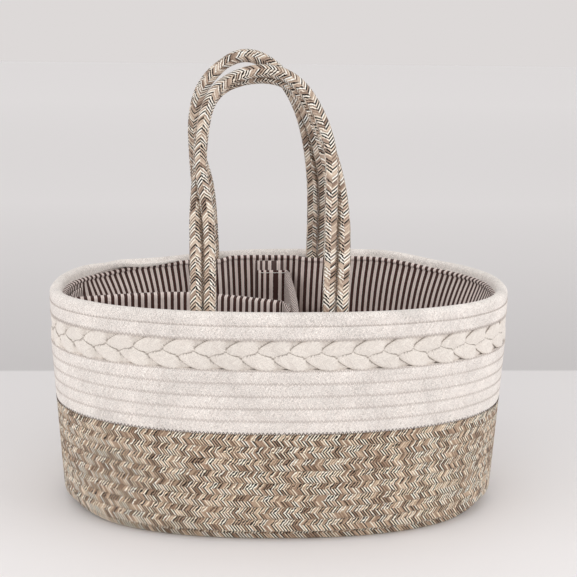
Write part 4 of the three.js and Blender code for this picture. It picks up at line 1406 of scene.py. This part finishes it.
def side_divider():
    plan = smooth_route(SIDE_PLAN, SIDE_CELLS + 1)
    tangent = unit(np.gradient(plan, axis=0))
    across = np.column_stack([tangent[:, 1], -tangent[:, 0]])
    length = lengths_along(plan)[-1] * MM

    def laid(u, v):
        offset, z, _ = folded_section(v)
        i = np.rint(u * SIDE_CELLS).astype(int)
        shift = (1 - u) * inner_inset(z)
        thick = offset + np.sign(offset) * crowned(u, z)
        return plan[i, 0] + shift + across[i, 0] * thick, plan[i, 1] + across[i, 1] * thick, z

    cover("side_divider", SIDE_CELLS, laid, width=length)

    def left(front, back, inset):
        return [float(place_of_left_y(y, inset)) for y in (back, front)]

    wall_tape("lining_left_loop", left(*LEFT_LOOP, LOOP_PLAN_INSET), TAPE_TOP, 12, LOOP, "basket")
    wall_tape("side_divider_wall_hook", left(*LEFT_HOOK, HOOK_INSET), TAPE_TOP, 12, HOOK, "side_divider")
    flap = left(*LEFT_FLAP, FLAP_INSET)
    wall_flap("side_divider_wall_flap", flap, columns=24, body="side_divider")
    cross_flap()


def cross_flap():
    """The side divider's end turns forward along the cross divider, held there by tape."""
    turned = smooth_route(TURNED_PLAN, TURNED_CELLS + 1)

    def laid(u, v):
        i = np.rint(u * TURNED_CELLS).astype(int)
        z = DIVIDER_BOTTOM + DIVIDER_HEIGHT * v
        lean = TURNED_LEAN * smooth(u, *TURNED_RAMP) * smooth(z, TAPE_TOP - 1, DIVIDER_TOP)
        return turned[i, 0] + lean, turned[i, 1], z

    size = (lengths_along(turned)[-1] * MM, DIVIDER_HEIGHT * MM)
    flap = shaped_grid("side_divider_cross_flap_cloth", TURNED_CELLS, FLAP_CELLS, laid, size)
    thicken(flap, CLOTH)
    face_out(flap)
    settle(flap, "side_divider", ticking, ["side_divider_cross_flap"])
    flat_tape("cross_divider_loop", *FLAT_LOOP, "cross_divider", loop_tape)
    flat_tape("side_divider_cross_hook", *FLAT_HOOK, "side_divider", hook_tape)


# Floor, light and camera

FOCAL_PIXELS = 1300
PICTURE = 577
SENSOR = 36.0
CAMERA_AT = (-0.03925, -1.06567, 0.410725)
CAMERA_HEADING = -0.0440313
CAMERA_TILT = 0.216158
CAMERA_ROLL = 0.0117122
CAMERA_REACH = 100
LIGHTS_AIM = (0, 0, 0.12)
LIGHT_SIZE = 1.4

# The floor is painted in two tones that change at an edge behind the part. Behind the edge a painted shade
# darkens it towards the edge, and in front a painted light pales it towards the front
FLOOR_SIZE = 16.0
FLOOR_EDGE = 0.36
FLOOR_BLUR = 0.01
FLOOR_FRONT = -0.35


def camera():
    data = bpy.data.cameras.new("camera")
    data.sensor_width = SENSOR
    data.lens = FOCAL_PIXELS / PICTURE * SENSOR
    data.clip_end = CAMERA_REACH
    made = bpy.data.objects.new("camera", data)
    bpy.context.scene.collection.objects.link(made)
    turn = Matrix.Rotation(CAMERA_HEADING, 4, "Z") @ Matrix.Rotation(math.pi / 2 - CAMERA_TILT, 4, "X")
    made.matrix_world = Matrix.Translation(CAMERA_AT) @ turn @ Matrix.Rotation(CAMERA_ROLL, 4, "Z")
    bpy.context.scene.camera = made


def floor():
    bpy.ops.object.select_all(action="DESELECT")
    bpy.ops.mesh.primitive_plane_add(size=FLOOR_SIZE)
    ground = bpy.context.object
    ground.name = "floor"
    material = bpy.data.materials.new("pale_floor")
    material.use_nodes = True
    tree = material.node_tree
    shader = tree.nodes["Principled BSDF"]
    shader.inputs["Roughness"].default_value = 0.8
    shader.inputs["Specular IOR Level"].default_value = 0.1
    where = add(tree, "TexCoord").outputs["Object"]
    back = add(tree, "SeparateXYZ", {0: where}).outputs["Y"]
    edge = {"Value": back, "From Min": FLOOR_EDGE, "From Max": FLOOR_EDGE + FLOOR_BLUR}
    near = add(tree, "MapRange", edge, interpolation_type="SMOOTHSTEP")
    # Painted shade: behind the edge the floor darkens towards the edge
    behind = ramp(tree, calc(tree, "DIVIDE", back, FLOOR_SIZE / 2), colour_stops(
        (0.048, 206, 203, 203), (0.125, 227, 224, 224), (0.204, 242, 239, 239), (0.55, 253, 250, 250),
        (1.0, 253, 250, 250),
    ))
    # Painted light: in front of the edge the floor pales towards the front
    forward = add(tree, "MapRange", {"Value": back, "From Min": FLOOR_EDGE, "From Max": FLOOR_FRONT})
    front = mixed(tree, forward.outputs["Result"], from_srgb(229, 226, 226), from_srgb(243, 240, 240))
    colour = mixed(tree, near.outputs["Result"], front, behind)
    tree.links.new(colour, shader.inputs["Base Color"])
    ground.data.materials.append(material)


def area_light(name, at, power):
    data = bpy.data.lights.new(name, "AREA")
    data.size = LIGHT_SIZE
    data.energy = power
    made = bpy.data.objects.new(name, data)
    bpy.context.scene.collection.objects.link(made)
    made.location = at
    direction = Vector(LIGHTS_AIM) - made.location
    made.rotation_euler = direction.to_track_quat("-Z", "Y").to_euler()


def light():
    world = bpy.data.worlds.new("studio")
    bpy.context.scene.world = world
    world.use_nodes = True
    tree = world.node_tree
    tree.nodes.clear()
    path = add(tree, "LightPath").outputs
    seen = add(tree, "Background", {"Color": from_srgb(221, 217, 216), "Strength": 1.0})
    lit = add(tree, "Background", {"Color": (1.0, 0.99, 0.985, 1.0), "Strength": 0.74})
    both = add(tree, "MixShader", {0: path["Is Camera Ray"], 1: lit.outputs[0], 2: seen.outputs[0]})
    out = add(tree, "OutputWorld")
    tree.links.new(both.outputs[0], out.inputs["Surface"])
    area_light("key", (-0.4, -1.5, 1.7), 5.3)
    area_light("left", (-1.6, -0.7, 0.8), 8)
    area_light("right", (1.6, -0.7, 0.8), 10.5)
    bpy.context.scene.view_settings.view_transform = "Standard"


camera()
floor()
light()
base()
lower_wall()
upper_wall()
rim()
plait()
handle("front", FRONT, FRONT_LEAN, FRONT_TURNS, FRONT_ROUTE)
handle("back", BACK, BACK_LEAN, BACK_TURNS, BACK_ROUTE)
lining()
cross_divider()
side_divider()
for board in ("cross_divider_board", "side_divider_board"):
    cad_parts[board].data.materials.clear()
    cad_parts[board].data.materials.append(card)
